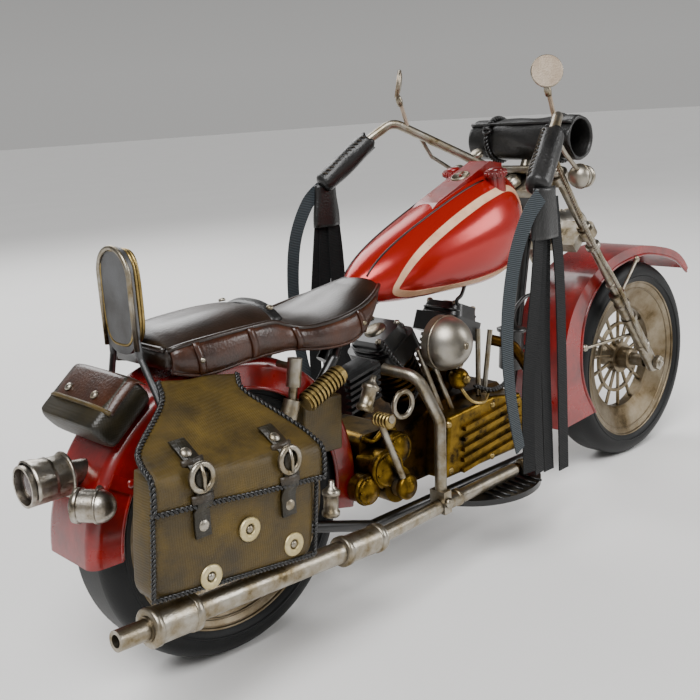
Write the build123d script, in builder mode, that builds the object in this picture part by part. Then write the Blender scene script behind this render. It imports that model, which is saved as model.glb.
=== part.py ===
"""Display model of a heavy touring motorcycle, cut and folded from tinplate.

Frame: +X points ahead, +Y to the rider's left, +Z up. The origin is on the floor, midway
between the front of the front tyre and the back of the exhaust, in the bike's middle plane.
"""

import os
from math import cos, radians, sin

from build123d import *

os.makedirs("parts", exist_ok=True)

# Driving dimensions, millimetres and degrees
TYRE_RADIUS = 50
FRONT_X = 137.4
REAR_X = -120.2
AXLE_Z = TYRE_RADIUS
RAKE = 38
FORK_OFFSET = 7
FORK_Y = 19
RAIL_Y = 17.5
RAIL_RADIUS = 2.2
AXLE_RADIUS = 2
TINPLATE = 1.2
RUNNING_GAP = 0.05
HEAD_POINT = Vector(64.3, 0, 132)
CRANK_POINT = Vector(-12, 0, 50)
BAR_RADIUS = 2
FENDER_RADIUS = 56
FENDER_HALF_WIDTH = 14.5

# The steering axis leans back by the rake; the fork legs stand ahead of it.
STEER = Vector(-sin(radians(RAKE)), 0, cos(radians(RAKE)))
AHEAD = Vector(cos(radians(RAKE)), 0, sin(radians(RAKE)))
FORK_BOTTOM = -109.6
AXLE_CENTRES = {"front": (FRONT_X, 0, AXLE_Z), "rear": (REAR_X, 0, AXLE_Z)}


def save(piece, label):
    """Name a finished piece and write its file."""
    piece.part.label = label
    export_step(piece.part, f"parts/{label}.step")


def rod(start, end, radius, mode=Mode.ADD):
    """Add, or cut, a round bar between two points."""
    run = Vector(*end) - Vector(*start)
    with Locations(Plane(origin=tuple(start), z_dir=run)):
        Cylinder(radius, run.length, align=(Align.CENTER, Align.CENTER, Align.MIN), mode=mode)


def bent_bar(points, radius):
    """Add a round bar through a list of points, with a ball in each bend."""
    for start, end in zip(points, points[1:]):
        rod(start, end, radius)
    for corner in points[1:-1]:
        with Locations(corner):
            Sphere(radius)


def block(centre, size, tilt=0, mode=Mode.ADD):
    """Add, or cut, a block turned about the cross axis."""
    with Locations(Location(centre, (0, tilt, 0))):
        Box(*size, mode=mode)


def mirrored(point):
    """The same point on the other side of the bike."""
    return (point[0], -point[1], point[2])


def on_steering(along, ahead=0.0, side=0.0):
    """A point given along the steering axis, ahead of it and to the left."""
    return HEAD_POINT + STEER * along + AHEAD * ahead + Vector(0, side, 0)


# ---------------------------------------------------------------- wheels
HUB_RADIUS = 5.5
HUB_HALF = 8
RIM_BED = 38
RIM_LIP = 40
RIM_INNER = 26
SPOKE_COUNT = 14

for end, tyre_half in (("front", 10.5), ("rear", 12)):
    centre = AXLE_CENTRES[end]
    tread_half = tyre_half - 5.5
    wheel_axis = Axis(centre, (0, 1, 0))

    with BuildPart() as rim:
        with BuildSketch(Plane(origin=centre, x_dir=(1, 0, 0), z_dir=(0, 0, 1))):
            with BuildLine():
                Polyline(
                    (RIM_LIP, tyre_half - 2.2),
                    (RIM_LIP - 1.5, tyre_half - 2.2),
                    (RIM_INNER + 1, 3.4),
                    (RIM_INNER, 2.4),
                    (RIM_INNER, -2.4),
                    (RIM_INNER + 1, -3.4),
                    (RIM_LIP - 1.5, 2.2 - tyre_half),
                    (RIM_LIP, 2.2 - tyre_half),
                    (RIM_LIP, 3.6 - tyre_half),
                    (RIM_BED, 4 - tyre_half),
                    (RIM_INNER + 2.4, -2),
                    (RIM_INNER + 2.4, 2),
                    (RIM_BED, tyre_half - 4),
                    (RIM_LIP, tyre_half - 3.6),
                    close=True,
                )
            make_face()
        revolve(axis=wheel_axis)
    save(rim, f"{end}_rim")

    with BuildPart() as tyre:
        with BuildSketch(Plane(origin=centre, x_dir=(1, 0, 0), z_dir=(0, 0, 1))):
            with BuildLine():
                Line((RIM_BED, 5 - tyre_half), (RIM_BED, tyre_half - 5))
                Line((RIM_BED, tyre_half - 5), (RIM_LIP, tyre_half - 1.5))
                ThreePointArc(
                    (RIM_LIP, tyre_half - 1.5),
                    (RIM_LIP + 4.5, tyre_half),
                    (TYRE_RADIUS, tread_half),
                )
                Line((TYRE_RADIUS, tread_half), (TYRE_RADIUS, -tread_half))
                ThreePointArc(
                    (TYRE_RADIUS, -tread_half),
                    (RIM_LIP + 4.5, -tyre_half),
                    (RIM_LIP, 1.5 - tyre_half),
                )
                Line((RIM_LIP, 1.5 - tyre_half), (RIM_BED, 5 - tyre_half))
            make_face()
        revolve(axis=wheel_axis)
        with Locations(Plane(origin=centre, z_dir=(0, 1, 0))):
            Cylinder(TYRE_RADIUS, 2 * tyre_half, mode=Mode.INTERSECT)
        add(rim.part, mode=Mode.SUBTRACT)
    save(tyre, f"{end}_tyre")

    with BuildPart() as spokes:
        with Locations(Plane(origin=centre, z_dir=(0, 1, 0))):
            Cylinder(18.4, 1.6)
            Cylinder(16.8, 1.6, mode=Mode.SUBTRACT)
            Cylinder(HUB_RADIUS, 2 * HUB_HALF)
            Cylinder(HUB_RADIUS + 2.5, 5)
            with PolarLocations(3.2, SPOKE_COUNT):
                with Locations(Location((0, 0, 0), (0, 90, 0))):
                    Cylinder(0.9, RIM_INNER - 3.22, align=(Align.CENTER, Align.CENTER, Align.MIN))
            Cylinder(AXLE_RADIUS + RUNNING_GAP, 2 * HUB_HALF + 2, mode=Mode.SUBTRACT)
    save(spokes, f"{end}_spokes")

# Each axle is a shouldered bar with a hexagon nut on both ends; its shoulders keep the hub central.
PLATE_INNER = 16.2
PLATE_THICKNESS = 2.6
SLIDER_INNER = FORK_Y - 3.2

for end, sleeve_end, nut_at in (
    ("front", SLIDER_INNER, FORK_Y + 3.2),
    ("rear", PLATE_INNER, PLATE_INNER + PLATE_THICKNESS),
):
    x, _, z = AXLE_CENTRES[end]
    with BuildPart() as axle:
        rod((x, -nut_at - 2.6, z), (x, nut_at + 2.6, z), AXLE_RADIUS)
        for side in (-1, 1):
            with BuildSketch(Plane(origin=(x, side * nut_at, z), z_dir=(0, side, 0))):
                RegularPolygon(3.8, 6)
            extrude(amount=2)
        for side in (-1, 1):
            rod((x, side * (HUB_HALF + 0.3), z), (x, side * sleeve_end, z), 3.2)
    save(axle, f"{end}_axle")
    if end == "front":
        front_axle = axle

# ---------------------------------------------------------------- tube frame
# The side stand swings back and up about a pin that is square to both of its resting directions.
STAND_PIVOT = Vector(-68, 25.2, 30.5)
STAND_FOOT = Vector(-58, 39, 0)
STAND_FOLDED = Vector(-1, 0.1, 0.25)
STAND_PIN = (STAND_FOOT - STAND_PIVOT).cross(STAND_FOLDED).normalized()

with BuildPart() as head_tube:
    rod(on_steering(-14), on_steering(14), 5)
    rod(on_steering(-15), on_steering(15), 3 + RUNNING_GAP, Mode.SUBTRACT)
save(head_tube, "head_tube")

BACKBONE_RADIUS = 2.4
BACKBONE_REAR = (-56, 0, 103.6)
with BuildPart() as backbone:
    bent_bar([(68, 0, 125), (28, 0, 116), (-30, 0, 113), BACKBONE_REAR, (-66, 0, 92)], BACKBONE_RADIUS)
    rod(on_steering(-20), on_steering(20), 5, Mode.SUBTRACT)
save(backbone, "backbone_tube")

with BuildPart() as axle_plates:
    for side in (-1, 1):
        middle = side * (PLATE_INNER + PLATE_THICKNESS / 2)
        block((REAR_X + 1, middle, AXLE_Z + 1), (20, PLATE_THICKNESS, 17))
    rod((REAR_X, -25, AXLE_Z), (REAR_X, 25, AXLE_Z), AXLE_RADIUS, Mode.SUBTRACT)
    fillet(axle_plates.edges().filter_by(Axis.Y).group_by(SortBy.LENGTH)[-1], 0.6)
save(axle_plates, "axle_plates")

with BuildPart() as down_tubes:
    for side in (-1, 1):
        rod((65.5, side * 3, 121), (57, side * 10, 33), RAIL_RADIUS)
    rod(on_steering(-20), on_steering(20), 5, Mode.SUBTRACT)
    add(backbone.part, mode=Mode.SUBTRACT)
save(down_tubes, "down_tubes")

with BuildPart() as bottom_rails:
    for side in (-1, 1):
        bent_bar(
            [
                (57, side * 10, 33),
                (51, side * 12, 28.5),
                (34, side * RAIL_Y, 28.5),
                (-62, side * RAIL_Y, 28.5),
                (REAR_X + 8, side * RAIL_Y, AXLE_Z - 5),
            ],
            RAIL_RADIUS,
        )
    rod((STAND_PIVOT.X, RAIL_Y, STAND_PIVOT.Z), (STAND_PIVOT.X, 23, STAND_PIVOT.Z), 2.6)
    rod(STAND_PIVOT - STAND_PIN * 3.4, STAND_PIVOT + STAND_PIN * 2, 0.8)
    add(down_tubes.part, mode=Mode.SUBTRACT)
    add(axle_plates.part, mode=Mode.SUBTRACT)
save(bottom_rails, "bottom_rails")

with BuildPart() as rear_struts:
    for side in (-1, 1):
        bent_bar(
            [
                (-58, side * 2, 101),
                (-76, side * RAIL_Y, 97),
                (REAR_X + 6, side * RAIL_Y, AXLE_Z + 5),
            ],
            2,
        )
    add(backbone.part, mode=Mode.SUBTRACT)
    add(axle_plates.part, mode=Mode.SUBTRACT)
save(rear_struts, "rear_struts")

# ---------------------------------------------------------------- engine
REAR_LEAN = -28
FRONT_LEAN = 22


def cylinder_axis(lean):
    """Unit vector up a cylinder that leans ahead by an angle."""
    return Vector(sin(radians(lean)), 0, cos(radians(lean)))


with BuildPart() as crankcase:
    with BuildSketch(Plane.XZ.offset(-14)):
        with BuildLine():
            Polyline(
                (-41, 37), (29, 37), (33, 54), (20, 66), (-5.5, 66.5), (-20.5, 66), (-41, 58),
                close=True,
            )
        make_face()
    extrude(amount=28)
    for lean in (REAR_LEAN, FRONT_LEAN):
        lift = cylinder_axis(lean)
        rod(CRANK_POINT + lift * 17, CRANK_POINT + lift * 50, 8, Mode.SUBTRACT)
save(crankcase, "crankcase")

COVER_BACK = 14
COVER_FACE = 25
with BuildPart() as cam_cover:
    with BuildSketch(Plane.XZ.offset(COVER_BACK)):
        with BuildLine():
            Polyline((-27, 38), (24, 38), (29, 50), (22, 62), (4, 65), (-24, 63), close=True)
        make_face()
    extrude(amount=COVER_FACE - COVER_BACK)
    fillet(cam_cover.faces().sort_by(Axis.Y)[0].edges(), 1.5)
    for rib in range(5):
        block((2, -COVER_FACE, 41.5 + 4.2 * rib), (40 - rib, 3, 1.8), -6)
save(cam_cover, "cam_cover")

with BuildPart() as primary_cover:
    with BuildSketch(Plane.XZ.offset(-COVER_BACK)):
        with Locations((-30, 50)):
            SlotCenterToCenter(44, 26)
    extrude(amount=-10)
    fillet(primary_cover.faces().sort_by(Axis.Y)[-1].edges(), 2.5)
save(primary_cover, "primary_cover")

with BuildPart() as gearbox:
    block((-51.5, 0, 50), (21, 26, 26))
    fillet(gearbox.edges().filter_by(Axis.Y), 4)
    for x, z, start, end, radius in (
        (-66, 45, 15.4, 22, 5.5), (-57, 51, 12, 24, 7), (-48, 56, 12, 21, 6), (-53, 44, 12, 24, 7),
    ):
        rod((x, -start, z), (x, -end, z), radius)
    rod((-53, -24, 44), (-53, -28, 44), 1.2)
    add(crankcase.part, mode=Mode.SUBTRACT)
    add(cam_cover.part, mode=Mode.SUBTRACT)
    add(primary_cover.part, mode=Mode.SUBTRACT)
save(gearbox, "gearbox")

with BuildPart() as cylinders:
    for lean in (REAR_LEAN, FRONT_LEAN):
        lift = cylinder_axis(lean)
        rod(CRANK_POINT + lift * 17, CRANK_POINT + lift * 41, 7.2)
        for fin in range(7):
            foot = CRANK_POINT + lift * (24.5 + 2.4 * fin)
            rod(foot, foot + lift * 1.2, 10)
save(cylinders, "cylinders")

with BuildPart() as cylinder_heads:
    for lean in (REAR_LEAN, FRONT_LEAN):
        lift = cylinder_axis(lean)
        with BuildSketch(Plane(origin=CRANK_POINT + lift * 41, x_dir=(0, 1, 0), z_dir=lift)):
            RectangleRounded(23, 21, 4)
        extrude(amount=8)
        with BuildSketch(Plane(origin=CRANK_POINT + lift * 49, x_dir=(0, 1, 0), z_dir=lift)):
            RectangleRounded(21, 17, 5)
        extrude(amount=5.5, taper=14)
save(cylinder_heads, "cylinder_heads")

with BuildPart() as pushrod_tubes:
    for foot, top in (
        ((-19, -16.5, 63.5), (-30, -15.5, 91)),
        ((-15, -18.5, 63.5), (-24, -16, 88)),
        ((2, -18.5, 65), (6, -16, 92)),
        ((8, -16.5, 64), (14.5, -15.5, 90)),
    ):
        rod(foot, top, 1.1)
    for piece in (cam_cover, crankcase):
        add(piece.part, mode=Mode.SUBTRACT)
save(pushrod_tubes, "pushrod_tubes")

AIR_CLEANER = (-20, -21, 92)
with BuildPart() as air_cleaner:
    x, y, z = AIR_CLEANER
    rod((x, y + 3, z), (x, y, z), 10.8)
    with Locations(AIR_CLEANER):
        Sphere(10.8)
        Sphere(9.8, mode=Mode.SUBTRACT)
    block((x, y + 13, z), (30, 20, 30), 0, Mode.SUBTRACT)
save(air_cleaner, "air_cleaner")

with BuildPart() as carburettor:
    rod((-13, -9, 77), (-13, -17.5, 77), 3.4)
    with Locations((-13, -21, 76)):
        Sphere(4.4)
    add(air_cleaner.part, mode=Mode.SUBTRACT)
    add(pushrod_tubes.part, mode=Mode.SUBTRACT)
save(carburettor, "carburettor")

PIPE_RADIUS = 2.3
JOINT = (-40, -33.5, 33.6)
with BuildPart() as exhaust_pipes:
    with BuildLine():
        FilletPolyline(
            (-46, -12.2, 86), (-42, -26, 84), (-36, -31, 66), (-39.6, -33.2, 38), radius=7.5
        )
    with BuildSketch(Plane(origin=(-46, -12.2, 86), z_dir=Vector(4, -13.8, -2))):
        Circle(PIPE_RADIUS)
    sweep()
    bent_bar([(8, -31, 33), JOINT, (-78, -38, 35.4)], 2.8)
    block((-39.8, -33.2, 35.5), (4, 7.4, 9))
save(exhaust_pipes, "exhaust_pipes")

with BuildPart() as front_header:
    with BuildLine():
        FilletPolyline(
            (17, -12.2, 85), (24, -20, 82), (33.5, -26, 62), (29, -30, 34), (8, -31, 33), radius=5.5
        )
    with BuildSketch(Plane(origin=(17, -12.2, 85), z_dir=Vector(7, -7.8, -3))):
        Circle(PIPE_RADIUS)
    sweep()
    for piece in (cam_cover, bottom_rails, exhaust_pipes):
        add(piece.part, mode=Mode.SUBTRACT)
save(front_header, "front_header_pipe")

MUFFLER_START = Vector(-78, -38, 35.4)
MUFFLER_END = Vector(-187.05, -45.5, 45)
MUFFLER_LINE = (MUFFLER_END - MUFFLER_START).normalized()
with BuildPart() as muffler:
    rod(MUFFLER_START, MUFFLER_START + MUFFLER_LINE * 20, 4.8)
    rod(MUFFLER_START, MUFFLER_START + MUFFLER_LINE * 100, 3.8)
    rod(MUFFLER_START + MUFFLER_LINE * 84, MUFFLER_START + MUFFLER_LINE * 98.5, 5.5)
    rod(MUFFLER_START, MUFFLER_END, 3.1)
    rod(MUFFLER_START + MUFFLER_LINE * 2, MUFFLER_START + MUFFLER_LINE * 99, 2.9, Mode.SUBTRACT)
    rod(MUFFLER_END - MUFFLER_LINE * 20, MUFFLER_END + MUFFLER_LINE, 1.9, Mode.SUBTRACT)
    add(exhaust_pipes.part, mode=Mode.SUBTRACT)
save(muffler, "muffler")

with BuildPart() as oil_box:
    block((-87, -19.5, 76), (18, 6.5, 20), 4)
    fillet(oil_box.edges(), 1)
    add(rear_struts.part, mode=Mode.SUBTRACT)
save(oil_box, "oil_box")

with BuildPart() as finned_box:
    block((-62, -12.5, 83), (15, 7, 16), -12)
    for fin in range(6):
        block((-62, -17.2, 77 + 2.4 * fin), (16, 3.4, 1.1), -12)
    add(rear_struts.part, mode=Mode.SUBTRACT)
    add(backbone.part, mode=Mode.SUBTRACT)
save(finned_box, "finned_box")

COIL_START = Vector(-99, -28, 88)
COIL_END = Vector(-82, -28, 95)
with BuildPart() as ribbed_canister:
    rod(COIL_START, COIL_END, 3)
    turn = (COIL_END - COIL_START) * (1 / 11)
    for rib in range(10):
        foot = COIL_START + turn * (rib + 0.5)
        rod(foot, foot + turn * 0.5, 3.7)
    rod((-88, -28, 92), (-86, -20, 86), 1.4)
    add(oil_box.part, mode=Mode.SUBTRACT)
    add(rear_struts.part, mode=Mode.SUBTRACT)
save(ribbed_canister, "ribbed_canister")

SHOCK_Y = 25
with BuildPart() as shock_absorbers:
    for side in (-1, 1):
        y = side * SHOCK_Y
        rod((-99.6, y, 103.5), (-101.2, y, 94), 2.5)
        rod((-101.2, y, 94), (-102, y, 89.5), 1.5)
        rod((-102, y, 89.5), (-108, y, 76), 3)
        rod((-108, y, 76), (-116, y, 57), 1.5)
        rod((-100, y, 100.5), (-100, side * (RAIL_Y - 1), 100.5), 1.2)
        rod((-116, y, 57), (-116, side * (PLATE_INNER + PLATE_THICKNESS), 56), 1.2)
    for piece in (ribbed_canister, rear_struts, axle_plates):
        add(piece.part, mode=Mode.SUBTRACT)
save(shock_absorbers, "shock_absorbers")

with BuildPart() as trim_ring:
    with Locations(Plane(origin=(-53, -28.6, 76.4), z_dir=(0, 1, 0))):
        Torus(4.8, 0.95)
    rod((-53, -28.6, 71.6), (-53, -13, 69), 1)
save(trim_ring, "trim_ring")

with BuildPart() as kick_lever:
    rod((-53, -24.3, 44), (-53, -29.6, 44), 4.2)
    rod((-53, -28.2, 44), (-65.5, -28.2, 74), 1.3)
    rod((-65.5, -26.2, 74), (-65.5, -35, 75), 1.5)
    rod((-53, -23, 44), (-53, -28.3, 44), 1.2 + RUNNING_GAP, Mode.SUBTRACT)
save(kick_lever, "kick_lever")

# ---------------------------------------------------------------- footboards and side stand
BOARD_Z = 26.2
with BuildPart() as footboards:
    for side in (-1, 1):
        with BuildSketch(Plane.XY.offset(BOARD_Z)):
            with BuildLine():
                ThreePointArc((-24, side * 26), (2, side * 42.5), (28, side * 26))
                Line((28, side * 26), (-24, side * 26))
            make_face()
        extrude(amount=2.4)
        for x in (-12, 14):
            rod((x, side * 27, BOARD_Z + 1.2), (x, side * RAIL_Y, 28.2), 1.4)
    add(bottom_rails.part, mode=Mode.SUBTRACT)
save(footboards, "footboards")

with BuildPart() as side_stand:
    with Locations(STAND_PIVOT):
        Sphere(2)
    rod(STAND_PIVOT, STAND_FOOT + Vector(0, 0, 1), 1.6)
    with Locations(STAND_FOOT):
        Cylinder(5, 1.6, align=(Align.CENTER, Align.CENTER, Align.MIN))
    block((STAND_FOOT.X, STAND_FOOT.Y, -5), (20, 20, 10), 0, Mode.SUBTRACT)
    rod(STAND_PIVOT - STAND_PIN * 4, STAND_PIVOT + STAND_PIN * 4, 0.8 + RUNNING_GAP, Mode.SUBTRACT)
save(side_stand, "side_stand")

# ---------------------------------------------------------------- tank
TANK_SECTIONS = (
    # station, underside, top, half width
    (-50, 112.5, 120, 4),
    (-40, 109.5, 128, 11),
    (-16, 107.5, 139.5, 18),
    (10, 107, 149.5, 21),
    (32, 108.5, 154, 18.5),
    (42, 113.5, 151.5, 12.5),
)


def tank_loft(wall):
    """Pressed teardrop shell, drawn a wall's thickness inside its outer face."""
    sections = []
    for station, low, high, half in TANK_SECTIONS:
        inset = wall if low < high - 8 else 0.8 * wall
        with BuildSketch(Plane.YZ.offset(station)) as section:
            with Locations((0, (low + high) / 2)):
                Ellipse(half - inset, (high - low) / 2 - inset)
        sections.append(section.sketch)
    return sections


with BuildPart() as fuel_tank:
    loft(sections=tank_loft(0), ruled=False)
    loft(sections=tank_loft(1.4), ruled=False, mode=Mode.SUBTRACT)
    add(backbone.part, mode=Mode.SUBTRACT)
save(fuel_tank, "fuel_tank")

with BuildPart() as tank_solid:
    loft(sections=tank_loft(0), ruled=False)

with BuildPart() as dash_panel:
    with BuildSketch(Plane.XZ.offset(-5.5)):
        with BuildLine():
            Polyline((-12, 139), (-4, 144.5), (30, 158.5), (38, 157), (36, 150), (20, 148), close=True)
        make_face()
    extrude(amount=11)
    fillet(dash_panel.edges().filter_by(Axis.Y).group_by(Axis.Z)[-1], 1.5)
    for side in (-1, 1):
        rod((27, side * 11.5, 146), (26, side * 11.5, 155), 3.6)
        rod((26.3, side * 11.5, 152.4), (26, side * 11.5, 155), 4.4)
    add(tank_solid.part, mode=Mode.SUBTRACT)
save(dash_panel, "dash_panel_and_caps")

# ---------------------------------------------------------------- rear fender, lamps, sissy bar
SKIRT = 11
FENDER_TAIL = 180
FENDER_TOE = -14


def fender_ring(outer, half_width, depth):
    """A ring round the rear axle, with square shoulders."""
    with Locations(Plane(origin=AXLE_CENTRES["rear"], z_dir=(0, 1, 0))):
        Cylinder(outer, 2 * half_width)
        Cylinder(outer - depth, 2 * half_width + 2, mode=Mode.SUBTRACT)


with BuildPart() as rear_fender:
    fender_ring(FENDER_RADIUS, FENDER_HALF_WIDTH, SKIRT)
    fillet(rear_fender.edges().filter_by(GeomType.CIRCLE).group_by(SortBy.RADIUS)[-1], 4)
    with Locations(Plane(origin=AXLE_CENTRES["rear"], z_dir=(0, 1, 0))):
        Cylinder(FENDER_RADIUS - TINPLATE, 2 * (FENDER_HALF_WIDTH - TINPLATE), mode=Mode.SUBTRACT)
    with BuildSketch(Plane.XZ.offset(-30)):
        with BuildLine():
            Polyline(
                (REAR_X, AXLE_Z),
                (REAR_X - 90, AXLE_Z + 2),
                (REAR_X - 90, AXLE_Z - 90),
                (REAR_X + 90, AXLE_Z - 90),
                (REAR_X + 90, AXLE_Z - 90 * sin(radians(14))),
                close=True,
            )
        make_face()
    extrude(amount=60, mode=Mode.SUBTRACT)
save(rear_fender, "rear_fender")

with BuildPart() as fender_stays:
    for side in (-1, 1):
        block((-148, side * (FENDER_HALF_WIDTH + 0.5), 67), (43, 1, 4.5), 31)
    rod((-126, -PLATE_INNER, 54), (-130, -37, 60), 1.6)
    rod((-116, -PLATE_INNER, 46), (-117, -40, 38.5), 1.6)
    add(axle_plates.part, mode=Mode.SUBTRACT)
    add(muffler.part, mode=Mode.SUBTRACT)
save(fender_stays, "rear_fender_stays")

LAMP_Z = 79
with BuildPart() as rear_lamps:
    rod((-166, 0, LAMP_Z - 1), (-174, 0, LAMP_Z), 4)
    rod((-173, 0, LAMP_Z), (-187.4, 0, LAMP_Z), 6.6)
    rod((-185, 0, LAMP_Z), (-188, 0, LAMP_Z), 5.8, Mode.SUBTRACT)
    for side in (-1, 1):
        base = Vector(-177, side * 14.5, 73.6)
        nose = Vector(0.62, side * 0.78, -0.05)
        rod(base, base + nose * 6, 5)
        with Locations(base + nose * 6):
            Sphere(5)
        rod((-167, side * 11, 76), base + nose * 3, 1.5)
    add(rear_fender.part, mode=Mode.SUBTRACT)
save(rear_lamps, "rear_lamps")

SISSY_X = -149
with BuildPart() as sissy_bar:
    with BuildSketch(Plane.YZ.offset(SISSY_X)):
        with Locations((0, 129)):
            RectangleRounded(18.4, 34, 8)
    extrude(amount=1.6)
    for side in (-1, 1):
        bent_bar([(SISSY_X + 1, side * 7.6, 118), (-147.6, side * 8.4, 111), (-146.4, side * 15.7, 96),
                  (-146.4, side * 15.7, 84)], 1.1)
    add(rear_fender.part, mode=Mode.SUBTRACT)
save(sissy_bar, "sissy_bar")

with BuildPart() as sissy_pad:
    with BuildSketch(Plane.YZ.offset(SISSY_X + 1.6)):
        with Locations((0, 130)):
            RectangleRounded(15.6, 29, 7)
    extrude(amount=3)
    fillet(sissy_pad.faces().sort_by(Axis.X)[-1].edges(), 1.2)
    add(sissy_bar.part, mode=Mode.SUBTRACT)
save(sissy_pad, "sissy_pad")

# ---------------------------------------------------------------- leather: seat, pouch, saddlebag
with BuildPart() as seat:
    with BuildSketch(Plane.XZ.offset(-18)):
        with BuildLine():
            top = Spline((-41, 119.5), (-58, 116.5), (-83, 111.5), (-95, 117), (-106, 119.8), (-143, 117.5))
            Polyline(top @ 1, (-143, 106.8), (-41, 106.8), top @ 0)
        make_face()
    extrude(amount=36)
    fillet(seat.edges().filter_by(Axis.Z), 6)
    with Locations(Plane(origin=AXLE_CENTRES["rear"], z_dir=(0, 1, 0))):
        Cylinder(FENDER_RADIUS + 0.3, 2 * FENDER_HALF_WIDTH + 2, mode=Mode.SUBTRACT)
    for piece in (tank_solid, sissy_bar, backbone, shock_absorbers):
        add(piece.part, mode=Mode.SUBTRACT)
save(seat, "seat")

POUCH_TILT = -40
with BuildPart() as tool_pouch:
    block((-160.8, 0, 98.4), (21, 35, 11), POUCH_TILT)
    fillet(tool_pouch.edges(), 1.2)
    block((-157.2, 0, 104.2), (20, 31, 1.2), POUCH_TILT - 8)
    add(rear_fender.part, mode=Mode.SUBTRACT)
save(tool_pouch, "tool_pouch")

# The saddlebag hangs from the seat on a folded flap and drops a little towards the front.
BAG_TILT = 6.8
BAG_FACE = -49.5
BAG_BACK = -37
BAG_HALF = 29.5
BAG_PLANE = Plane(
    origin=(-142.5, 0, 89),
    x_dir=(0, 1, 0),
    z_dir=(cos(radians(BAG_TILT)), 0, -sin(radians(BAG_TILT))),
)
with BuildPart() as saddlebag:
    with BuildSketch(BAG_PLANE.offset(-BAG_HALF)):
        with Locations(((BAG_FACE + BAG_BACK) / 2, -22)):
            Rectangle(BAG_BACK - BAG_FACE, 36)
    extrude(amount=2 * BAG_HALF)
    fillet(saddlebag.edges(), 1.5)
    add(fender_stays.part, mode=Mode.SUBTRACT)
save(saddlebag, "saddlebag")

with BuildPart() as bag_flap:
    with BuildSketch(BAG_PLANE.offset(-BAG_HALF - 2)):
        with BuildLine():
            Polyline(
                (-19.5, 15), (-41, 0), (-50.8, -5), (-50.8, -13),
                (-49.7, -13), (-49.7, -5.9), (-40.4, -1.2), (-19.5, 13.2),
                close=True,
            )
        make_face()
    extrude(amount=2 * BAG_HALF + 4)
    with BuildSketch(Plane.XY.offset(60)):
        with BuildLine():
            Polyline(
                (-174, -52), (-174, -42), (-150, -24), (-150, -19), (-120, -19), (-120, -24),
                (-110.5, -42), (-110.5, -52),
                close=True,
            )
        make_face()
    extrude(amount=60, mode=Mode.INTERSECT)
    for piece in (saddlebag, seat, shock_absorbers):
        add(piece.part, mode=Mode.SUBTRACT)
save(bag_flap, "bag_flap")

WASHERS = ((-142.4, 64), (-126.4, 53.5), (-157.4, 54.5))
STRAPS = ((-159, 86), (-127.6, 82))
with BuildPart() as bag_fittings:
    for x, z in WASHERS:
        rod((x, BAG_FACE, z), (x, BAG_FACE - 0.8, z), 3.8)
        rod((x, BAG_FACE + 1, z), (x, BAG_FACE - 2, z), 1.3, Mode.SUBTRACT)
    for x, z in STRAPS:
        with Locations(Plane(origin=(x, -51.7, z), z_dir=(0, 1, 0))):
            Torus(3.1, 0.8)
        for drop in (-13.5, 4.8):
            rod((x, BAG_FACE, z + drop), (x, -51.4, z + drop), 1.7)
    add(saddlebag.part, mode=Mode.SUBTRACT)
    add(bag_flap.part, mode=Mode.SUBTRACT)
save(bag_fittings, "bag_fittings")

# ---------------------------------------------------------------- front fork
CLAMP_DEPTH = 15


def clamp_plate(along, thickness):
    """Add a round-ended plate that joins both fork legs, square to the steering axis."""
    low = (Align.CENTER, Align.CENTER, Align.MIN)
    with Locations(Plane(origin=on_steering(along, 3.5), x_dir=(0, 1, 0), z_dir=STEER)):
        Box(2 * FORK_Y, CLAMP_DEPTH, thickness, align=low)
        with Locations((-FORK_Y, -3.5), (FORK_Y, -3.5)):
            Cylinder(4.6, thickness, align=low)


LEG_RADIUS = 2.2
SLIDER_RADIUS = 3.2
SLIDER_TOP = -58
with BuildPart() as steering_stem:
    clamp_plate(-19, 4.6)
    rod(on_steering(-18), on_steering(19), 3)
    rod(on_steering(-17, 10), on_steering(-17, 19), 2)
    for side in (-1, 1):
        rod(on_steering(-25, FORK_OFFSET, side * FORK_Y), on_steering(0, FORK_OFFSET, side * FORK_Y),
            LEG_RADIUS, Mode.SUBTRACT)
save(steering_stem, "steering_stem")

with BuildPart() as fork_legs:
    for side in (-1, 1):
        rod(on_steering(SLIDER_TOP, FORK_OFFSET, side * FORK_Y),
            on_steering(20, FORK_OFFSET, side * FORK_Y), LEG_RADIUS)
save(fork_legs, "fork_legs")

with BuildPart() as fork_sliders:
    for side in (-1, 1):
        foot = on_steering(FORK_BOTTOM - 4, FORK_OFFSET, side * FORK_Y)
        rod(foot, on_steering(SLIDER_TOP, FORK_OFFSET, side * FORK_Y), SLIDER_RADIUS)
        for along in (SLIDER_TOP, SLIDER_TOP - 17):
            rod(on_steering(along - 2.5, FORK_OFFSET, side * FORK_Y),
                on_steering(along, FORK_OFFSET, side * FORK_Y), 3.8)
    add(front_axle.part, mode=Mode.SUBTRACT)
save(fork_sliders, "fork_sliders")

BAR_CENTRE = (56, 0, 152.6)
GRIP_INNER = (14, 49, 170)
GRIP_OUTER = (-8, 57.4, 152)
with BuildPart() as handlebar:
    route = [GRIP_OUTER, GRIP_INNER, (24, 44.5, 176.5), (56, 13, 152.6)]
    with BuildLine():
        FilletPolyline(*route, *[mirrored(point) for point in reversed(route)], radius=[6, 7, 8, 8, 7, 6])
    with BuildSketch(Plane(origin=GRIP_OUTER, z_dir=Vector(*GRIP_INNER) - Vector(*GRIP_OUTER))):
        Circle(BAR_RADIUS)
    sweep()
save(handlebar, "handlebar")

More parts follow.
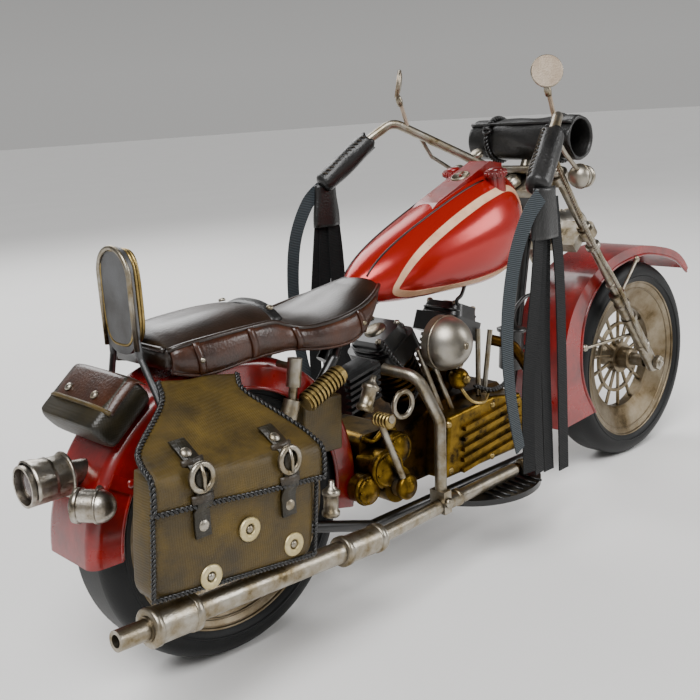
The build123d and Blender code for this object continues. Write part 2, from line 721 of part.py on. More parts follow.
with BuildPart() as upper_clamp:
    clamp_plate(14.4, 4)
    for side in (-1, 1):
        rod(on_steering(18, 3.5, side * 8), (56, side * 8, 152.6), 2.8)
    rod(on_steering(18, 9), (64.6, 0, 160), 2.2)
    for side in (-1, 1):
        rod(on_steering(0, FORK_OFFSET, side * FORK_Y), on_steering(30, FORK_OFFSET, side * FORK_Y),
            LEG_RADIUS, Mode.SUBTRACT)
    with Locations(Location((64.6, 0, 165.5), (90, 0, 0))):
        Cylinder(9.5, 60, mode=Mode.SUBTRACT)
    add(steering_stem.part, mode=Mode.SUBTRACT)
    add(handlebar.part, mode=Mode.SUBTRACT)
save(upper_clamp, "upper_clamp")

with BuildPart() as grips:
    for tip, root in ((GRIP_OUTER, GRIP_INNER), (mirrored(GRIP_OUTER), mirrored(GRIP_INNER))):
        run = (Vector(*root) - Vector(*tip)).normalized()
        rod(Vector(*tip) - run * 1.5, Vector(*root) - run * 1.5, 4.8)
    add(handlebar.part, mode=Mode.SUBTRACT)
save(grips, "grips")

with BuildPart() as mirrors:
    for side in (-1, 1):
        rod((29, side * 39.5, 172.6), (23.6, side * 39.6, 187), 0.9)
        glass = Vector(-0.68, side * 0.71, 0.18).normalized()
        centre = Vector(23.6, side * 39.6, 192.6)
        rod(centre - glass * 0.8, centre + glass * 0.8, 6)
    add(handlebar.part, mode=Mode.SUBTRACT)
save(mirrors, "mirrors")

with BuildPart() as bedroll:
    rod((64.6, -27, 165.5), (64.6, 27, 165.5), 9.5)
    fillet(bedroll.edges(), 1)
save(bedroll, "bedroll")

with BuildPart() as front_lamps:
    rod((86, 0, 123), (98, 0, 123), 8)
    with Locations((86, 0, 123)):
        Sphere(8)
    for side in (-1, 1):
        bent_bar([(33, side * 36, 168.4), (40, side * 36.5, 160), (55, side * 33.4, 151)], 0.9)
        with Locations((55.1, side * 33, 150)):
            Sphere(5)
    for piece in (steering_stem, handlebar):
        add(piece.part, mode=Mode.SUBTRACT)
save(front_lamps, "front_lamps")


def toward_axle(points, distance):
    """Move side-view points straight towards the front axle."""
    hub = Vector(FRONT_X, AXLE_Z, 0)
    return [Vector(*point, 0) + (hub - Vector(*point, 0)).normalized() * distance for point in points]


FENDER_CREST = [
    (183.2, 91), (172, 100.5), (154, 106), (137, 108.8), (121, 108.4),
    (104, 104.8), (88, 97), (76, 84), (70, 67), (67.5, 48), (67, 31),
]
FENDER_EDGE = [
    (96, 33), (87, 47), (84, 62), (87, 80), (98, 94.5), (115, 102), (137, 104.3), (154, 101.8),
    (170, 96.8), (182, 88.8),
]


def fender_side(skin, reach):
    """Closed side outline of the front fender, or of the hollow inside it."""
    crest = toward_axle(FENDER_CREST, skin)
    edge = toward_axle(FENDER_EDGE, reach)
    if reach:
        crest = [crest[0] + Vector(3, -3, 0), *crest[1:-1], crest[-1] + Vector(0, -4, 0)]
        edge = [edge[0] + Vector(0, -6, 0), *edge[1:-1], edge[-1] + Vector(4, -4, 0)]
    Spline(*crest)
    Line(crest[-1], edge[0])
    Spline(*edge)
    Line(edge[-1], crest[0])


with BuildPart() as front_fender:
    with BuildSketch(Plane.XZ.offset(-14)):
        with BuildLine() as outline:
            fender_side(0, 0)
        make_face()
    extrude(amount=28)
    with BuildSketch(Plane.XZ.offset(TINPLATE - 14)):
        with BuildLine():
            fender_side(TINPLATE, 8)
        make_face()
    extrude(amount=28 - 2 * TINPLATE, mode=Mode.SUBTRACT)
save(front_fender, "front_fender")

with BuildPart() as front_stays:
    for side in (-1, 1):
        rod((131, side * 14.6, 103), on_steering(-64, FORK_OFFSET, side * (FORK_Y - 2)), 0.8)
        rod((86, side * 14.6, 67), on_steering(-88, FORK_OFFSET, side * (FORK_Y - 2)), 0.8)
    for piece in (front_fender, fork_sliders, fork_legs):
        add(piece.part, mode=Mode.SUBTRACT)
save(front_stays, "front_fender_stays")

with BuildPart() as brake_cable:
    with BuildLine():
        FilletPolyline(
            (42, -27, 163), (56, -25, 148), (76, -24.6, 119), (99, -25, 95), (119, -24, 66),
            (128, -23, 58),
            radius=12,
        )
    with BuildSketch(Plane(origin=(42, -27, 163), z_dir=Vector(14, 2, -15))):
        Circle(0.8)
    sweep()
    add(fork_sliders.part, mode=Mode.SUBTRACT)
    add(handlebar.part, mode=Mode.SUBTRACT)
save(brake_cable, "brake_cable")

TASSEL_TOP = 149
TASSEL_BOTTOM = 46
for name, side in (("right", -1), ("left", 1)):
    with BuildPart() as tassel:
        with BuildSketch(Plane.XZ.offset(61 if side < 0 else -57)):
            with BuildLine():
                Polyline(
                    (2, TASSEL_TOP), (-14, TASSEL_TOP), (-26, TASSEL_BOTTOM), (-8, TASSEL_BOTTOM),
                    close=True,
                )
            make_face()
        extrude(amount=-4)
        add(grips.part, mode=Mode.SUBTRACT)
    save(tassel, f"{name}_tassel")
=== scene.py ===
"""Looks of the tinplate display motorcycle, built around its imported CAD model."""

from __future__ import annotations

import logging
import math
import random
from dataclasses import dataclass, field
from enum import Enum
from typing import Callable, Sequence

import bpy
from mathutils import Matrix, Vector


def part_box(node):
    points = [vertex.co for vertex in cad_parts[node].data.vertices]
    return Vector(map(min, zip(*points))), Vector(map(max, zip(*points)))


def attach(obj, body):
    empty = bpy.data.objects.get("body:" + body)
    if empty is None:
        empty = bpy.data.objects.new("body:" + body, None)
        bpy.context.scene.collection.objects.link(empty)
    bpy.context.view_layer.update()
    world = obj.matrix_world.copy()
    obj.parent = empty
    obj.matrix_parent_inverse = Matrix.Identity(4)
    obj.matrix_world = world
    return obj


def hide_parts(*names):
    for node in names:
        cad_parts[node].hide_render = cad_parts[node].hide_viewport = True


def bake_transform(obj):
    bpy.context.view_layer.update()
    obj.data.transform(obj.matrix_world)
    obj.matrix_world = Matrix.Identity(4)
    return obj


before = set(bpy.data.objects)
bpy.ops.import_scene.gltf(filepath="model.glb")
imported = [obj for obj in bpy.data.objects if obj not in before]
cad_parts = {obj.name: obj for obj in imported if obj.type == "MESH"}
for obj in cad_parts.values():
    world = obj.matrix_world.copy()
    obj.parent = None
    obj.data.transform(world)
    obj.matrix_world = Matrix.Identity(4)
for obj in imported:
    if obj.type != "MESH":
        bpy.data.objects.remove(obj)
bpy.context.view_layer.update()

LOG = logging.getLogger("motorcycle")
MM = 0.001
Point = Sequence[float]

FRONT_HUB = Vector((137.4, 0, 50))
REAR_HUB = Vector((-120.2, 0, 50))
RAKE = math.radians(38)
STEER = Vector((-math.sin(RAKE), 0, math.cos(RAKE)))
AHEAD = Vector((math.cos(RAKE), 0, math.sin(RAKE)))
HEAD_POINT = Vector((64.3, 0, 132))
RIGHT = (0, -1, 0)
SIDES = ((-1, "right"), (1, "left"))


class Body(Enum):
    """The bodies of the model that a piece can ride on."""

    CHASSIS = "chassis"
    STEERING = "steering"
    FRONT_WHEEL = "front_wheel"
    REAR_WHEEL = "rear_wheel"
    SIDE_STAND = "side_stand"
    KICK_LEVER = "kick_lever"


class Slot(Enum):
    """The record's material slots."""

    AGED_RIM = "aged_rim"
    BLACK_ENAMEL = "black_enamel"
    BLACK_LEATHER = "black_leather"
    BLACK_RIBBON = "black_ribbon"
    BRASS = "brass"
    BRIGHT_TIN = "bright_tin"
    BROWN_LEATHER = "brown_leather"
    GOLD_LACQUER = "gold_lacquer"
    OLIVE_LEATHER = "olive_leather"
    RED_ENAMEL = "red_enamel"
    TYRE_RUBBER = "tyre_rubber"


# ------------------------------------------------------------------ finishes


def linear(code: str) -> tuple[float, float, float, float]:
    """Turn an sRGB hex colour into linear light.

    Args:
        code: Six hex digits after a hash sign.

    Returns:
        Red, green, blue and an alpha of 1.
    """
    parts = [int(code[i : i + 2], 16) / 255 for i in (1, 3, 5)]
    light = [p / 12.92 if p <= 0.04045 else ((p + 0.055) / 1.055) ** 2.4 for p in parts]
    return (*light, 1.0)


def per_metre(size_mm: float) -> float:
    """Texture scale whose features are size_mm across."""
    return 1 / (size_mm * MM)


def add_node(tree: bpy.types.NodeTree, kind: str, inputs: dict, **settings: object) -> bpy.types.Node:
    """Add one shader node.

    Args:
        tree: The material's node tree.
        kind: The node's type name, without its ShaderNode prefix.
        inputs: Input name or number to a value, or to the output socket it is linked from.
        settings: Properties of the node itself.

    Returns:
        The new node.
    """
    node = tree.nodes.new("ShaderNode" + kind)
    for key, value in settings.items():
        setattr(node, key, value)
    for key, value in inputs.items():
        if isinstance(value, bpy.types.NodeSocket):
            tree.links.new(value, node.inputs[key])
        else:
            node.inputs[key].default_value = value
    return node


WAVE_PERIOD = 2 * math.pi / 20
"""Width of one band of a wave texture at a scale of 1."""


def ramp(tree: bpy.types.NodeTree, source: bpy.types.NodeSocket, low: float,
    high: float) -> bpy.types.NodeSocket:
    """Stretch the part of a pattern between two levels to run from 0 to 1.

    Args:
        tree: The node tree.
        source: The pattern.
        low: The level that becomes 0.
        high: The level that becomes 1.

    Returns:
        The stretched pattern.
    """
    spread = {"Value": source, "From Min": low, "From Max": high}
    return add_node(tree, "MapRange", spread, clamp=True).outputs[0]


def mix(tree: bpy.types.NodeTree, share: bpy.types.NodeSocket, first: object,
    second: object) -> bpy.types.NodeSocket:
    """Mix two colours by a share from 0 to 1.

    Args:
        tree: The node tree.
        share: How much of the second colour shows.
        first: A colour or a socket.
        second: A colour or a socket.

    Returns:
        The mixed colour.
    """
    blend = {0: share, 6: first, 7: second}
    return add_node(tree, "Mix", blend, data_type="RGBA").outputs[2]


@dataclass(frozen=True)
class Finish:
    """Base of all finishes: named for a real material and how its surface is made."""

    name: str

    def material(self) -> bpy.types.Material:
        """Make the material once and keep it.

        Returns:
            The finished material.
        """
        found = bpy.data.materials.get(self.name)
        if found:
            return found
        made = bpy.data.materials.new(self.name)
        made.use_nodes = True
        tree = made.node_tree
        tree.nodes.clear()
        place = tree.nodes.new("ShaderNodeTexCoord").outputs["Object"]
        surface = tree.nodes.new("ShaderNodeBsdfPrincipled")
        self.paint(tree, place, surface)
        out = tree.nodes.new("ShaderNodeOutputMaterial")
        tree.links.new(surface.outputs[0], out.inputs[0])
        return made

    def paint(self, tree: bpy.types.NodeTree, place: bpy.types.NodeSocket, surface: bpy.types.Node) -> None:
        """Lay the pattern of the finish on its shader.

        Args:
            tree: The material's node tree.
            place: Where each point lies in the piece's own space.
            surface: The shader to paint.
        """
        raise NotImplementedError


@dataclass(frozen=True)
class Enamel(Finish):
    """Brushed-on enamel over tinplate: glossy, slightly wavy, with a dark antique glaze in blotches."""

    colour: str
    glaze: str
    roughness: float = 0.28
    coat: float = 0.6
    blotch_mm: float = 16
    wave_mm: float = 5

    def paint(self, tree: bpy.types.NodeTree, place: bpy.types.NodeSocket, surface: bpy.types.Node) -> None:
        """Mix glaze into the paint in soft blotches and fine specks.

        Args:
            tree: The material's node tree.
            place: Where each point lies in the piece's own space.
            surface: The shader to paint.
        """
        noise = {"Vector": place, "Scale": per_metre(self.blotch_mm), "Detail": 5.0, "Roughness": 0.6}
        blotch = add_node(tree, "TexNoise", noise)
        speck = add_node(tree, "TexNoise", {"Vector": place, "Scale": per_metre(1.3), "Detail": 3.0})
        toned = mix(tree, ramp(tree, blotch.outputs[0], 0.42, 0.78), linear(self.colour), linear(self.glaze))
        marks = ramp(tree, speck.outputs[0], 0.69, 0.76)
        coloured = mix(tree, marks, toned, linear(self.glaze))
        tree.links.new(coloured, surface.inputs["Base Color"])
        rough = {0: blotch.outputs[0], 1: 0.22, 2: self.roughness - 0.1}
        worn = add_node(tree, "Math", rough, operation="MULTIPLY_ADD").outputs[0]
        tree.links.new(worn, surface.inputs["Roughness"])
        surface.inputs["Coat Weight"].default_value = self.coat
        surface.inputs["Coat Roughness"].default_value = 0.12
        wave = add_node(tree, "TexNoise", {"Vector": place, "Scale": per_metre(self.wave_mm), "Detail": 2.0})
        bump = add_node(tree, "Bump", {"Height": wave.outputs[0], "Strength": 0.12, "Distance": 0.0008})
        tree.links.new(bump.outputs[0], surface.inputs["Normal"])


@dataclass(frozen=True)
class HandMetal(Finish):
    """Hand-worked metal: stained and dirtied in patches, darkened in its hollows by painted shade, with fine
    rubbing marks.
    """

    bright: str
    stain: str
    grime_and_shade: str
    roughness: float = 0.34
    stain_mm: float = 7
    grime_level: float = 0.62
    hollow_mm: float = 1.6
    pitted: float = 0.25

    def paint(self, tree: bpy.types.NodeTree, place: bpy.types.NodeSocket, surface: bpy.types.Node) -> None:
        """Stain the metal in patches, darken its hollows with painted shade and rough it where it is stained.

        Args:
            tree: The material's node tree.
            place: Where each point lies in the piece's own space.
            surface: The shader to paint.
        """
        noise = {"Vector": place, "Scale": per_metre(self.stain_mm), "Detail": 6.0, "Roughness": 0.62}
        patch = add_node(tree, "TexNoise", noise)
        fine = add_node(tree, "TexNoise", {"Vector": place, "Scale": per_metre(0.6), "Detail": 4.0})
        tone = mix(tree, ramp(tree, patch.outputs[0], 0.38, 0.66), linear(self.bright), linear(self.stain))
        dirt = ramp(tree, patch.outputs[0], self.grime_level, self.grime_level + 0.14)
        toned = mix(tree, dirt, tone, linear(self.grime_and_shade))
        # Painted shade: an ambient occlusion mask mixes the grime colour into hollows and creases, where
        # shade falls.
        shade = add_node(tree, "AmbientOcclusion", {"Distance": self.hollow_mm * MM}, samples=6)
        painted_shade = ramp(tree, shade.outputs["AO"], 0.75, 0.25)
        tree.links.new(mix(tree, painted_shade, toned, linear(self.grime_and_shade)), surface.inputs["Base Color"])
        surface.inputs["Metallic"].default_value = 1.0
        rough = {0: patch.outputs[0], 1: 0.3, 2: self.roughness - 0.12}
        worn = add_node(tree, "Math", rough, operation="MULTIPLY_ADD").outputs[0]
        tree.links.new(worn, surface.inputs["Roughness"])
        bump = {"Height": fine.outputs[0], "Strength": self.pitted, "Distance": 0.0003}
        tree.links.new(add_node(tree, "Bump", bump).outputs[0], surface.inputs["Normal"])


@dataclass(frozen=True)
class Leather(Finish):
    """Dyed and waxed leather: pebbled grain, rubbed paler where it is handled."""

    colour: str
    rubbed: str
    grain_mm: float = 0.9
    rub_mm: float = 14
    roughness: float = 0.42
    weave_mm: float = 0.0
    gloss: float = 0.2
    bump: float = 0.35

    def paint(self, tree: bpy.types.NodeTree, place: bpy.types.NodeSocket, surface: bpy.types.Node) -> None:
        """Grain the hide with cells, rub its colour in patches and, on canvas grain, cross it with a weave.

        Args:
            tree: The material's node tree.
            place: Where each point lies in the piece's own space.
            surface: The shader to paint.
        """
        cells = add_node(tree, "TexVoronoi", {"Vector": place, "Scale": per_metre(self.grain_mm)})
        rub = {"Vector": place, "Scale": per_metre(self.rub_mm), "Detail": 6.0, "Roughness": 0.65}
        patch = add_node(tree, "TexNoise", rub)
        share = ramp(tree, patch.outputs[0], 0.36, 0.72)
        toned = mix(tree, share, linear(self.colour), linear(self.rubbed))
        tree.links.new(toned, surface.inputs["Base Color"])
        height = cells.outputs["Distance"]
        if self.weave_mm:
            threads = {"Vector": place, "Scale": per_metre(self.weave_mm) * WAVE_PERIOD, "Distortion": 1.5}
            warp = add_node(tree, "TexWave", threads, bands_direction="X").outputs[1]
            weft = add_node(tree, "TexWave", threads, bands_direction="Z").outputs[1]
            height = add_node(tree, "Math", {0: warp, 1: weft}, operation="ADD").outputs[0]
        bump = {"Height": height, "Strength": self.bump, "Distance": 0.0004}
        tree.links.new(add_node(tree, "Bump", bump).outputs[0], surface.inputs["Normal"])
        rough = {0: patch.outputs[0], 1: 0.3, 2: self.roughness - 0.12}
        worn = add_node(tree, "Math", rough, operation="MULTIPLY_ADD").outputs[0]
        tree.links.new(worn, surface.inputs["Roughness"])
        surface.inputs["Coat Weight"].default_value = self.gloss
        surface.inputs["Coat Roughness"].default_value = 0.25


@dataclass(frozen=True)
class Rubber(Finish):
    """Moulded rubber: near black, matt, dusted and faintly scuffed."""

    colour: str = "#050607"
    dust: str = "#0F1112"

    def paint(self, tree: bpy.types.NodeTree, place: bpy.types.NodeSocket, surface: bpy.types.Node) -> None:
        """Dust the rubber in broad patches.

        Args:
            tree: The material's node tree.
            place: Where each point lies in the piece's own space.
            surface: The shader to paint.
        """
        patch = add_node(tree, "TexNoise", {"Vector": place, "Scale": per_metre(20), "Detail": 6.0})
        share = ramp(tree, patch.outputs[0], 0.4, 0.75)
        tree.links.new(mix(tree, share, linear(self.colour), linear(self.dust)), surface.inputs["Base Color"])
        surface.inputs["Roughness"].default_value = 0.5
        surface.inputs["Specular IOR Level"].default_value = 0.3
        fine = add_node(tree, "TexNoise", {"Vector": place, "Scale": per_metre(0.7), "Detail": 2.0})
        bump = {"Height": fine.outputs[0], "Strength": 0.2, "Distance": 0.0003}
        tree.links.new(add_node(tree, "Bump", bump).outputs[0], surface.inputs["Normal"])


@dataclass(frozen=True)
class Ribbon(Finish):
    """Woven grosgrain ribbon: close ribs across its length; ribs are drawn 0.7 mm apart so that they show."""

    colour: str
    rib_highlight: str
    rib_mm: float = 0.7

    def paint(self, tree: bpy.types.NodeTree, place: bpy.types.NodeSocket, surface: bpy.types.Node) -> None:
        """Rib the ribbon and paint a highlight on each rib.

        Args:
            tree: The material's node tree.
            place: Where each point lies in the piece's own space.
            surface: The shader to paint.
        """
        ribs = {"Vector": place, "Scale": per_metre(self.rib_mm) * WAVE_PERIOD, "Distortion": 0.4}
        wave = add_node(tree, "TexWave", ribs, bands_direction="Z").outputs[1]
        # Painted highlight: the paler colour follows the rib wave and stands in for light caught on each rib.
        tree.links.new(mix(tree, wave, linear(self.colour), linear(self.rib_highlight)),
            surface.inputs["Base Color"])
        surface.inputs["Roughness"].default_value = 0.75
        surface.inputs["Sheen Weight"].default_value = 0.05
        surface.inputs["Specular IOR Level"].default_value = 0.25
        bump = {"Height": wave, "Strength": 0.4, "Distance": 0.0003}
        tree.links.new(add_node(tree, "Bump", bump).outputs[0], surface.inputs["Normal"])


@dataclass(frozen=True)
class Paper(Finish):
    """Seamless studio paper: plain, pale and matt."""

    colour: str

    def paint(self, tree: bpy.types.NodeTree, place: bpy.types.NodeSocket, surface: bpy.types.Node) -> None:
        """Give the paper the faintest mottle.

        Args:
            tree: The material's node tree.
            place: Where each point lies in the piece's own space.
            surface: The shader to paint.
        """
        cloud = add_node(tree, "TexNoise", {"Vector": place, "Scale": 6.0, "Detail": 2.0})
        share = ramp(tree, cloud.outputs[0], 0.2, 0.9)
        tree.links.new(mix(tree, share, linear(self.colour), linear("#EFEEEC")), surface.inputs["Base Color"])
        surface.inputs["Roughness"].default_value = 0.9


@dataclass(frozen=True)
class Glass(Finish):
    """Pressed lamp glass on a solid back: opaque, hard and glossy, with faint ribs."""

    colour: str
    rib_mm: float = 1.2

    def paint(self, tree: bpy.types.NodeTree, place: bpy.types.NodeSocket, surface: bpy.types.Node) -> None:
        """Rib the lens and give it a hard gloss.

        Args:
            tree: The material's node tree.
            place: Where each point lies in the piece's own space.
            surface: The shader to paint.
        """
        ribs = {"Vector": place, "Scale": per_metre(self.rib_mm) * WAVE_PERIOD}
        wave = add_node(tree, "TexWave", ribs, bands_direction="Y").outputs[1]
        surface.inputs["Base Color"].default_value = linear(self.colour)
        surface.inputs["Roughness"].default_value = 0.12
        surface.inputs["Coat Weight"].default_value = 1.0
        bump = {"Height": wave, "Strength": 0.5, "Distance": 0.0004}
        tree.links.new(add_node(tree, "Bump", bump).outputs[0], surface.inputs["Normal"])


# Red enamel, brushed on: deep and glossy, with dark antique glaze in soft blotches.
RED = Enamel("red_brushed_enamel", "#860A06", "#3A0504")
# Cream lining enamel, brushed on: satin, dulled to tan in places.
CREAM = Enamel("cream_lining_enamel", "#E8BC98", "#A9714F", roughness=0.45, coat=0.2)
# Black stove enamel: near black, with a broad dull gloss.
BLACK = Enamel("black_stove_enamel", "#050505", "#100D0A", roughness=0.36, coat=0.25)
# Tinned steel, rubbed by hand: grey silver, with painted shade browning its hollows.
TIN = HandMetal("tinned_steel_hand_rubbed", "#A9A397", "#7C6D50", "#1E1910", hollow_mm=3)
# Tinned steel, spun: paler and more even, for domes and small lamps.
SPUN_TIN = HandMetal("tinned_steel_spun_satin", "#A8A49C", "#958C7B", "#4A4234", roughness=0.36,
    stain_mm=18, grime_level=0.7, pitted=0.12)
# Rim steel, spun and aged: warm grey with broad brown staining.
RIM_STEEL = HandMetal("spun_rim_steel_aged", "#8E8370", "#64543A", "#1C160D", roughness=0.36, stain_mm=16,
    hollow_mm=4)
# Black casting with a gilt wash: gold only where it is rubbed.
DARK_GOLD = HandMetal("gilt_wash_on_black_casting", "#4A3310", "#1D1407", "#050402", roughness=0.42,
    stain_mm=6, grime_level=0.52, hollow_mm=5)
# Casting under gold lacquer: dull yellow, dirty in patches, with painted shade darkening its hollows.
GOLD = HandMetal("gold_lacquered_casting", "#84671F", "#473512", "#070502", roughness=0.34, stain_mm=6,
                 grime_level=0.56, hollow_mm=5, pitted=0.2)
# Brass, rolled and aged: pale straw colour.
BRASS = HandMetal("rolled_brass_aged", "#B39C66", "#7D6838", "#1E1709", hollow_mm=2)
# Brown hide, waxed: almost black, with soft long highlights.
SEAT_HIDE = Leather("brown_waxed_hide", "#130A03", "#2B1705", roughness=0.34, gloss=0.35, rub_mm=26,
    bump=0.12)
# Chestnut hide, waxed: a warmer brown for the panels below the seat.
PANEL_HIDE = Leather("chestnut_waxed_hide", "#260F03", "#492205", roughness=0.36, gloss=0.3, rub_mm=14,
    bump=0.2)
# Black hide, waxed: low gloss over a pebbled grain.
BLACK_HIDE = Leather("black_waxed_hide", "#060606", "#141210", roughness=0.42, bump=0.3)
# Olive hide, embossed like canvas: matt, rubbed to mustard in patches.
OLIVE = Leather("olive_canvas_grain_hide", "#302403", "#594506", weave_mm=0.8, roughness=0.55, gloss=0.05,
    bump=0.16)
# The same hide, dyed darker, for straps and pouch.
DARK_OLIVE = Leather("dark_olive_canvas_grain_hide", "#120F04", "#2E2508", weave_mm=0.8, roughness=0.45,
    gloss=0.12, bump=0.14)
# Strap hide, cut and left plain: dark and matt.
DARK_STRAP = Leather("dark_strap_hide", "#1C1408", "#3A2C12", roughness=0.5)
# Rubber, moulded: near black and dusty.
RUBBER = Rubber("tyre_rubber_moulded")
# Grosgrain ribbon, woven: black with close ribs across it.
BLACK_RIBBON = Ribbon("black_grosgrain_ribbon", "#040405", "#0F1112")
# The same ribbon in slate grey.
GREY_RIBBON = Ribbon("grey_grosgrain_ribbon", "#14181A", "#434B50")
# Pressed steel washers under cream lacquer: pale and chalky.
CREAM_METAL = HandMetal("cream_lacquered_washer", "#D9CBA0", "#B8A775", "#2E2610", roughness=0.5, hollow_mm=1)
# Steel mirror discs, brushed: a dull beige that does not reflect clearly.
MIRROR_DISC = HandMetal("mirror_disc_brushed", "#B9AA99", "#A08F7C", "#6A5F52", roughness=0.5,
    grime_level=0.7)
# Pewter sheet, satin: plain mid grey.
PEWTER = HandMetal("pewter_sheet_satin", "#77787A", "#646362", "#2E2B28", roughness=0.46, stain_mm=20,
    grime_level=0.72)
# Tinned sheet, worked by hand: bright, with painted shade darkening its creases.
TAIL_RUMPLED = HandMetal("tinned_sheet_rumpled", "#B4AFA6", "#8A8070", "#231E17", roughness=0.3, stain_mm=4,
    hollow_mm=3)
# Pressed clear glass over a bright back: pale and hard.
LENS = Glass("lamp_glass_pressed", "#C9CFCF")
# Pressed red glass over a dark back.
RED_LENS = Glass("red_lamp_glass_pressed", "#2E0505")

NODE_FINISH: dict[Finish, tuple[str, ...]] = {
    RED: ("dash_panel_and_caps", "rear_fender", "rear_fender_stays", "front_fender"),
    BLACK: (
        "head_tube", "backbone_tube", "down_tubes", "bottom_rails", "rear_struts", "axle_plates",
        "cylinder_heads", "finned_box", "footboards", "side_stand", "primary_cover",
    ),
    TIN: (
        "front_axle", "rear_axle", "pushrod_tubes", "exhaust_pipes", "muffler", "trim_ring",
        "shock_absorbers", "kick_lever", "steering_stem", "upper_clamp",
        "fork_legs", "fork_sliders", "handlebar", "front_fender_stays", "bag_fittings",
        "brake_cable",
    ),
    SPUN_TIN: ("air_cleaner", "front_lamps"),
    PEWTER: ("sissy_bar",),
    TAIL_RUMPLED: ("rear_lamps",),
    RIM_STEEL: ("front_rim", "rear_rim", "front_spokes", "rear_spokes"),
    GOLD: ("cam_cover", "gearbox", "carburettor"),
    DARK_GOLD: ("crankcase", "cylinders", "front_header_pipe"),
    BRASS: ("ribbed_canister",),
    RUBBER: ("front_tyre", "rear_tyre"),
    SEAT_HIDE: ("seat",),
    BLACK_HIDE: ("bedroll", "grips", "sissy_pad"),
    OLIVE: ("tool_pouch", "saddlebag", "bag_flap", "oil_box"),
    BLACK_RIBBON: ("left_tassel", "right_tassel"),
    MIRROR_DISC: ("mirrors",),
}


# ------------------------------------------------------------------ mesh tools


def finish_piece(
    name: str, verts: Sequence[Point], faces: Sequence[Sequence[int]], look: Finish, smooth: bool = True
) -> bpy.types.Object:
    """Make an object from points in millimetres.

    Args:
        name: The piece's name.
        verts: Corners in millimetres, in the row frame.
        faces: Corner numbers of each face.
        look: The finish it wears.
        smooth: Whether faces shade smoothly.

    Returns:
        The new object, linked to the scene.
    """
    mesh = bpy.data.meshes.new(name)
    mesh.from_pydata([Vector(v) * MM for v in verts], [], [tuple(f) for f in faces])
    mesh.validate()
    mesh.polygons.foreach_set("use_smooth", [smooth] * len(mesh.polygons))
    mesh.materials.append(look.material())
    made = bpy.data.objects.new(name, mesh)
    bpy.context.collection.objects.link(made)
    return made


